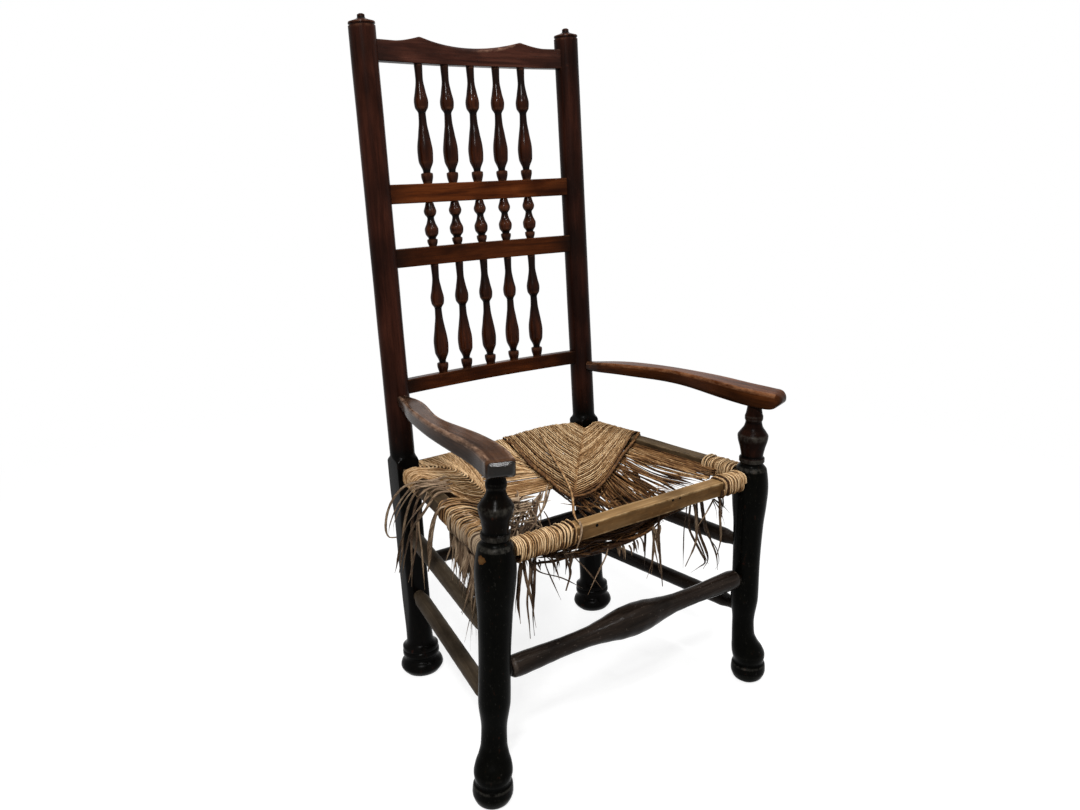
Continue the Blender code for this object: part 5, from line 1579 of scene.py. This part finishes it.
def hang(node):
    """A loose strand in the place of its CAD tube."""
    points = [at(*point) for point in LOOSE_ROUTES[node]]
    length = np.linalg.norm(np.diff(smooth_route(points, 0.004), axis=0), axis=1).sum()
    route = smooth_route(points, length / 36)
    bundle, across = node == "rush_sagging_bundle", node == "loose_strand_across"
    diameter = BUNDLE_DIAMETER if bundle else STRAND_DIAMETER
    strand = Strands(node + "_strand")
    if bundle:
        wound = BUNDLE_TWIST * np.linspace(0, length, len(route))
        for phase in ring_angles(BUNDLE_PLIES):
            ply = np.stack((np.zeros(len(route)), np.cos(wound + phase), np.sin(wound + phase)), axis=1)
            strand.add(route + 0.0028 * ply, 0.0022, 0.0020, tone_near(strand.rng, 0.24, 0.06))
    else:
        tone = 0.66 if across else tone_near(strand.rng, 0.50, 0.08)
        flat, crevice, spin = (0.46, 0.97, 0) if across else (0.25, 0.5, 12)
        thick = diameter * flat
        strand.add(route, diameter / 2, thick, tone, spin=spin, fray=(0, 0.03), tip=0.6, crevice=crevice)
    held = bundle or across
    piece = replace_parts(strand.piece(RUSH if held else TORN_RUSH), node)
    return piece


# Camera, floor and light


def place_camera():
    """The camera that took the photograph."""
    forward = Vector(
        (
            math.sin(CAMERA_YAW) * math.cos(CAMERA_PITCH),
            math.cos(CAMERA_YAW) * math.cos(CAMERA_PITCH),
            -math.sin(CAMERA_PITCH),
        )
    )
    right = Vector((math.cos(CAMERA_YAW), -math.sin(CAMERA_YAW), 0.0))
    down = forward.cross(right)
    level = math.cos(CAMERA_ROLL) * right + math.sin(CAMERA_ROLL) * down
    lower = math.cos(CAMERA_ROLL) * down - math.sin(CAMERA_ROLL) * right
    lens = bpy.data.cameras.new("photo_camera")
    lens.sensor_fit = "HORIZONTAL"
    lens.sensor_width = SENSOR_WIDTH
    lens.lens = FOCAL_PIXELS * SENSOR_WIDTH / PHOTO_WIDTH
    camera = link("photo_camera", lens)
    placed = Matrix((level, -lower, -forward)).transposed().to_4x4()
    placed.translation = Vector(at(*CAMERA_PLACE))
    camera.matrix_world = placed
    bpy.context.scene.camera = camera


# The floor: colour, added glow, the distances over which it turns white, and its half size
FLOOR_COLOUR = (0.32, 0.32, 0.32, 1.0)
FLOOR_GLOW = 0.82
FLOOR_FADE = (0.6, 1.9)
FLOOR_REACH = 40.0


def make_floor():
    """A wide pale floor that keeps the chair's shadow and turns into the white background further out."""
    shader = Shader("pale_floor")
    shader.finish(Base_Color=FLOOR_COLOUR, Roughness=0.95, Specular_IOR_Level=0.0)
    plain = shader.surface.outputs[0]
    glow = shader.node("ShaderNodeEmission", {"Color": WHITE, "Strength": FLOOR_GLOW}).outputs[0]
    white = shader.node("ShaderNodeEmission", {"Color": WHITE, "Strength": 1.0}).outputs[0]
    near = shader.node("ShaderNodeAddShader", {0: plain, 1: glow}).outputs[0]
    place = shader.node("ShaderNodeNewGeometry").outputs["Position"]
    distance = shader.node("ShaderNodeVectorMath", {0: place}, operation="LENGTH").outputs["Value"]
    far = shader.remap(distance, *FLOOR_FADE)
    shown = shader.node("ShaderNodeMixShader", {0: far, 1: near, 2: white}).outputs[0]
    whole = shader.node("ShaderNodeMixShader", {0: shader.seen_directly(), 1: plain, 2: shown}).outputs[0]
    shader.feed(shader.tree.nodes["Material Output"].inputs["Surface"], whole)
    mesh = bpy.data.meshes.new("floor")
    corners = [(x * FLOOR_REACH, y * FLOOR_REACH, 0) for x, y in ((-1, -1), (1, -1), (1, 1), (-1, 1))]
    mesh.from_pydata(corners, [], [(0, 1, 2, 3)])
    mesh.materials.append(shader.material)
    floor = link("floor", mesh)


# Light from the white surroundings, and lamps: place, the point each faces, size and power
SURROUND_STRENGTH = 0.20
LAMPS = {
    "key": ((-1.5, -1.7, 2.5), (0.0, 0.0, 0.6), 0.35, 62.0),
    "fill": ((-0.05, -1.2, 2.6), (0.0, 0.0, 0.5), 0.18, 13.0),
    "glint": ((0.70, -1.35, 2.40), (0.0, 0.0, 0.5), 0.12, 9.0),
    "top": ((0.1, 0.2, 3.0), (0.0, 0.0, 0.5), 1.2, 26.0),
}


def make_light():
    """A white background that lights softly, and the lamps."""
    world = bpy.data.worlds.new("studio")
    bpy.context.scene.world = world
    world.use_nodes = True
    nodes = Nodes(world.node_tree)
    soft = nodes.tree.nodes["Background"]
    nodes.feed(soft.inputs["Color"], WHITE)
    nodes.feed(soft.inputs["Strength"], SURROUND_STRENGTH)
    white = nodes.node("ShaderNodeBackground", {"Color": WHITE, "Strength": 1.0}).outputs[0]
    parts = {0: nodes.seen_directly(), 1: soft.outputs[0], 2: white}
    whole = nodes.node("ShaderNodeMixShader", parts).outputs[0]
    nodes.feed(nodes.tree.nodes["World Output"].inputs["Surface"], whole)
    for name, (place, target, size, power) in LAMPS.items():
        lamp = bpy.data.lights.new(name, "AREA")
        lamp.size = size
        lamp.energy = power
        light = link(name, lamp)
        light.location = place
        light.rotation_euler = (Vector(target) - Vector(place)).to_track_quat("-Z", "Y").to_euler()


bpy.context.scene.view_settings.view_transform = "Standard"
place_camera()
make_floor()
make_light()

# Finishes: name, then the grain's dark, middle and light, worn edges and black stain
MAHOGANY = wood(
    "mahogany_rails",
    (0.0170, 0.0036, 0.0010), (0.0760, 0.0172, 0.0034), (0.1350, 0.0360, 0.0086),
    (0.2600, 0.1100, 0.0500), (0.0030, 0.0014, 0.0008),
    rough=0.24, gloss=0.034,
)
SPINDLE_WOOD = wood(
    "mahogany_spindles",
    (0.0070, 0.0017, 0.0006), (0.0340, 0.0080, 0.0024), (0.0760, 0.0190, 0.0058),
    (0.1300, 0.0480, 0.0220), (0.0020, 0.0012, 0.0009),
    rough=0.15, gloss=0.060, wear=0.35,
)
# Its edge colour is wear, and in the crest's chamfered hollow a painted highlight.
CREST_WOOD = wood(
    "mahogany_crest",
    (0.0120, 0.0040, 0.0026), (0.0480, 0.0152, 0.0094), (0.0820, 0.0290, 0.0180),
    (0.2400, 0.1300, 0.0850), (0.0030, 0.0022, 0.0018),
    rough=0.28, gloss=0.045, wear=0.7, crack=0.8,
)
POST_WOOD = wood(
    "mahogany_posts",
    (0.0110, 0.0032, 0.0018), (0.0350, 0.0100, 0.0056), (0.0600, 0.0180, 0.0100),
    (0.1100, 0.0480, 0.0270), (0.0012, 0.0010, 0.0008),
    rough=0.26, gloss=0.030,
)
# Its grey edge colour is partly dust and partly a painted sheen on the rings and shoulders.
LEG_WOOD = wood(
    "black_legs",
    (0.0059, 0.0020, 0.0012), (0.0255, 0.0072, 0.0036), (0.0510, 0.0153, 0.0076),
    (0.0900, 0.0830, 0.0700), (0.0009, 0.0009, 0.0006),
    rough=0.24, gloss=0.020, wear=0.34, speckle=0.16,
)
ARM_LEFT_WOOD = wood(
    "arm_left_wood",
    (0.0190, 0.0078, 0.0038), (0.0640, 0.0290, 0.0145), (0.1080, 0.0520, 0.0290),
    (0.3600, 0.2200, 0.1450), (0.0030, 0.0024, 0.0017),
    rough=0.22, gloss=0.030, polish=7.0,
)
ARM_RIGHT_WOOD = wood(
    "arm_right_wood",
    (0.0220, 0.0058, 0.0016), (0.0900, 0.0255, 0.0066), (0.1700, 0.0560, 0.0165),
    (0.3000, 0.1400, 0.0680), (0.0050, 0.0024, 0.0016),
    rough=0.22, gloss=0.024, polish=4.5,
)
DUSTY_WOOD = wood(
    "dusty_stretchers",
    (0.0240, 0.0165, 0.0100), (0.0560, 0.0400, 0.0250), (0.0950, 0.0720, 0.0480),
    (0.1700, 0.1350, 0.0950), (0.0060, 0.0050, 0.0040),
    rough=0.55, gloss=0.045, speckle=0.3,
)
DARK_WOOD = wood(
    "dark_stretchers",
    (0.0040, 0.0026, 0.0018), (0.0150, 0.0100, 0.0072), (0.0350, 0.0250, 0.0190),
    (0.1200, 0.0950, 0.0770), (0.0020, 0.0018, 0.0015),
    rough=0.24, gloss=0.060, wear=0.35, speckle=0.4,
)
FRONT_RAIL_WOOD = wood(
    "bare_front_rail",
    (0.1500, 0.0800, 0.0290), (0.2700, 0.1580, 0.0640), (0.3700, 0.2350, 0.1100),
    (0.5200, 0.3600, 0.1900), (0.0420, 0.0170, 0.0040),
    rough=0.50, gloss=0.050, wear=0.65, crack=0.30,
)
SIDE_RAIL_WOOD = wood(
    "bare_side_rails",
    (0.0440, 0.0270, 0.0130), (0.0980, 0.0640, 0.0330), (0.1600, 0.1100, 0.0600),
    (0.2700, 0.1950, 0.1150), (0.0300, 0.0190, 0.0100),
    rough=0.56, gloss=0.040, crack=0.5,
)
# Dry rush from dark to straw
RUSH = rush_material(
    "rush",
    (0.018, 0.009, 0.005), (0.088, 0.036, 0.011), (0.250, 0.126, 0.048),
    (0.460, 0.265, 0.115), (0.860, 0.600, 0.340),
)
TORN_RUSH = rush_material(
    "torn_rush",
    (0.016, 0.010, 0.007), (0.070, 0.040, 0.023), (0.185, 0.122, 0.076),
    (0.370, 0.260, 0.165), (0.600, 0.450, 0.300),
)

for node in LOOSE_ROUTES:
    hang(node)
for node in WINDINGS:
    wind(node)

weave = Strands("rush_weave")
weave_wedge(weave)
weave_left(weave)
edge_cords(weave)
weave_band(weave)
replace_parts(weave.piece(RUSH), "rush_seat")
straw = Strands("rush_straw")
strew(straw, fringe, 34, step=0.005, flat=0.8, tones=(0.70, 0.16), most_spin=8, fray=(0, 0.015), crevice=0.9)
strew(straw, ribbons, 20, step=0.006, flat=0.5, tones=(0.46, 0.14), most_spin=20, fray=(0.01, 0.02))
strew(straw, bits, 56, step=0.005, flat=0.5, tones=(0.70, 0.17), most_spin=40, fray=(0.005, 0.008))
straw.piece(TORN_RUSH)
tangle = Strands("rush_lower_tangle")
strew(tangle, forward_strands, 64, step=0.007, flat=0.5, tones=(0.27, 0.09), most_spin=20, fray=(0, 0.03))
strew(tangle, strays, 40, step=0.006, flat=0.6, tones=(0.36, 0.12), most_spin=30, fray=(0.01, 0.02))
strew(tangle, clump, 120, step=0.007, flat=0.5, tones=(0.20, 0.08), most_spin=20, fray=(0.015, 0.03))
right_fan(tangle)
strew(tangle, spokes, 44, step=0.007, flat=0.5, tones=(0.34, 0.14), most_spin=20, fray=(0, 0.04))
tangle.piece(RUSH)
leaves = Strands("rush_torn_leaves")
torn_leaves(leaves)
leaves.piece(TORN_RUSH)

for tier in ("top", "middle", "bottom"):
    for number in range(1, 6):
        turn(f"{tier}_spindle_{number}", SPINDLE_WOOD, necks=0.85)
dress_back_rail(
    "crest_rail",
    CREST_BASE,
    crest_height,
    lambda x: max(RAIL_CHAMFER, CREST_CHAMFER * (1 - (x / CREST_PEAK_AT) ** 2)),
    CREST_WOOD,
)
for node, (base, height) in CROSS_RAILS.items():
    darkening = 0.0 if node == "upper_cross_rail" else 0.35
    dress_back_rail(node, base, lambda x, height=height: height, lambda x: RAIL_CHAMFER, MAHOGANY, darkening)
for side, label, arm_wood in ((-1, "left", ARM_LEFT_WOOD), (1, "right", ARM_RIGHT_WOOD)):
    dress_back_post(f"back_post_{label}", side)
    dress_front_leg(f"front_leg_{label}", side)
    dress_arm(f"arm_{label}", side, arm_wood)
    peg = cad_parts[f"arm_peg_{label}"]
    peg.data.materials.clear()
    peg.data.materials.append(DARK_WOOD)
    side_wood = DUSTY_WOOD if label == "left" else DARK_WOOD
    for level in ("upper", "lower"):
        turn(f"{label}_{level}_stretcher", side_wood)
turn("front_stretcher", DARK_WOOD)
turn("back_stretcher", DARK_WOOD)
dress_seat_rail("front_seat_rail", FRONT_RAIL_WOOD, 0.68)
nail_holes()
for node in ("back_seat_rail", "left_seat_rail", "right_seat_rail"):
    dress_seat_rail(node, SIDE_RAIL_WOOD, 0.45)
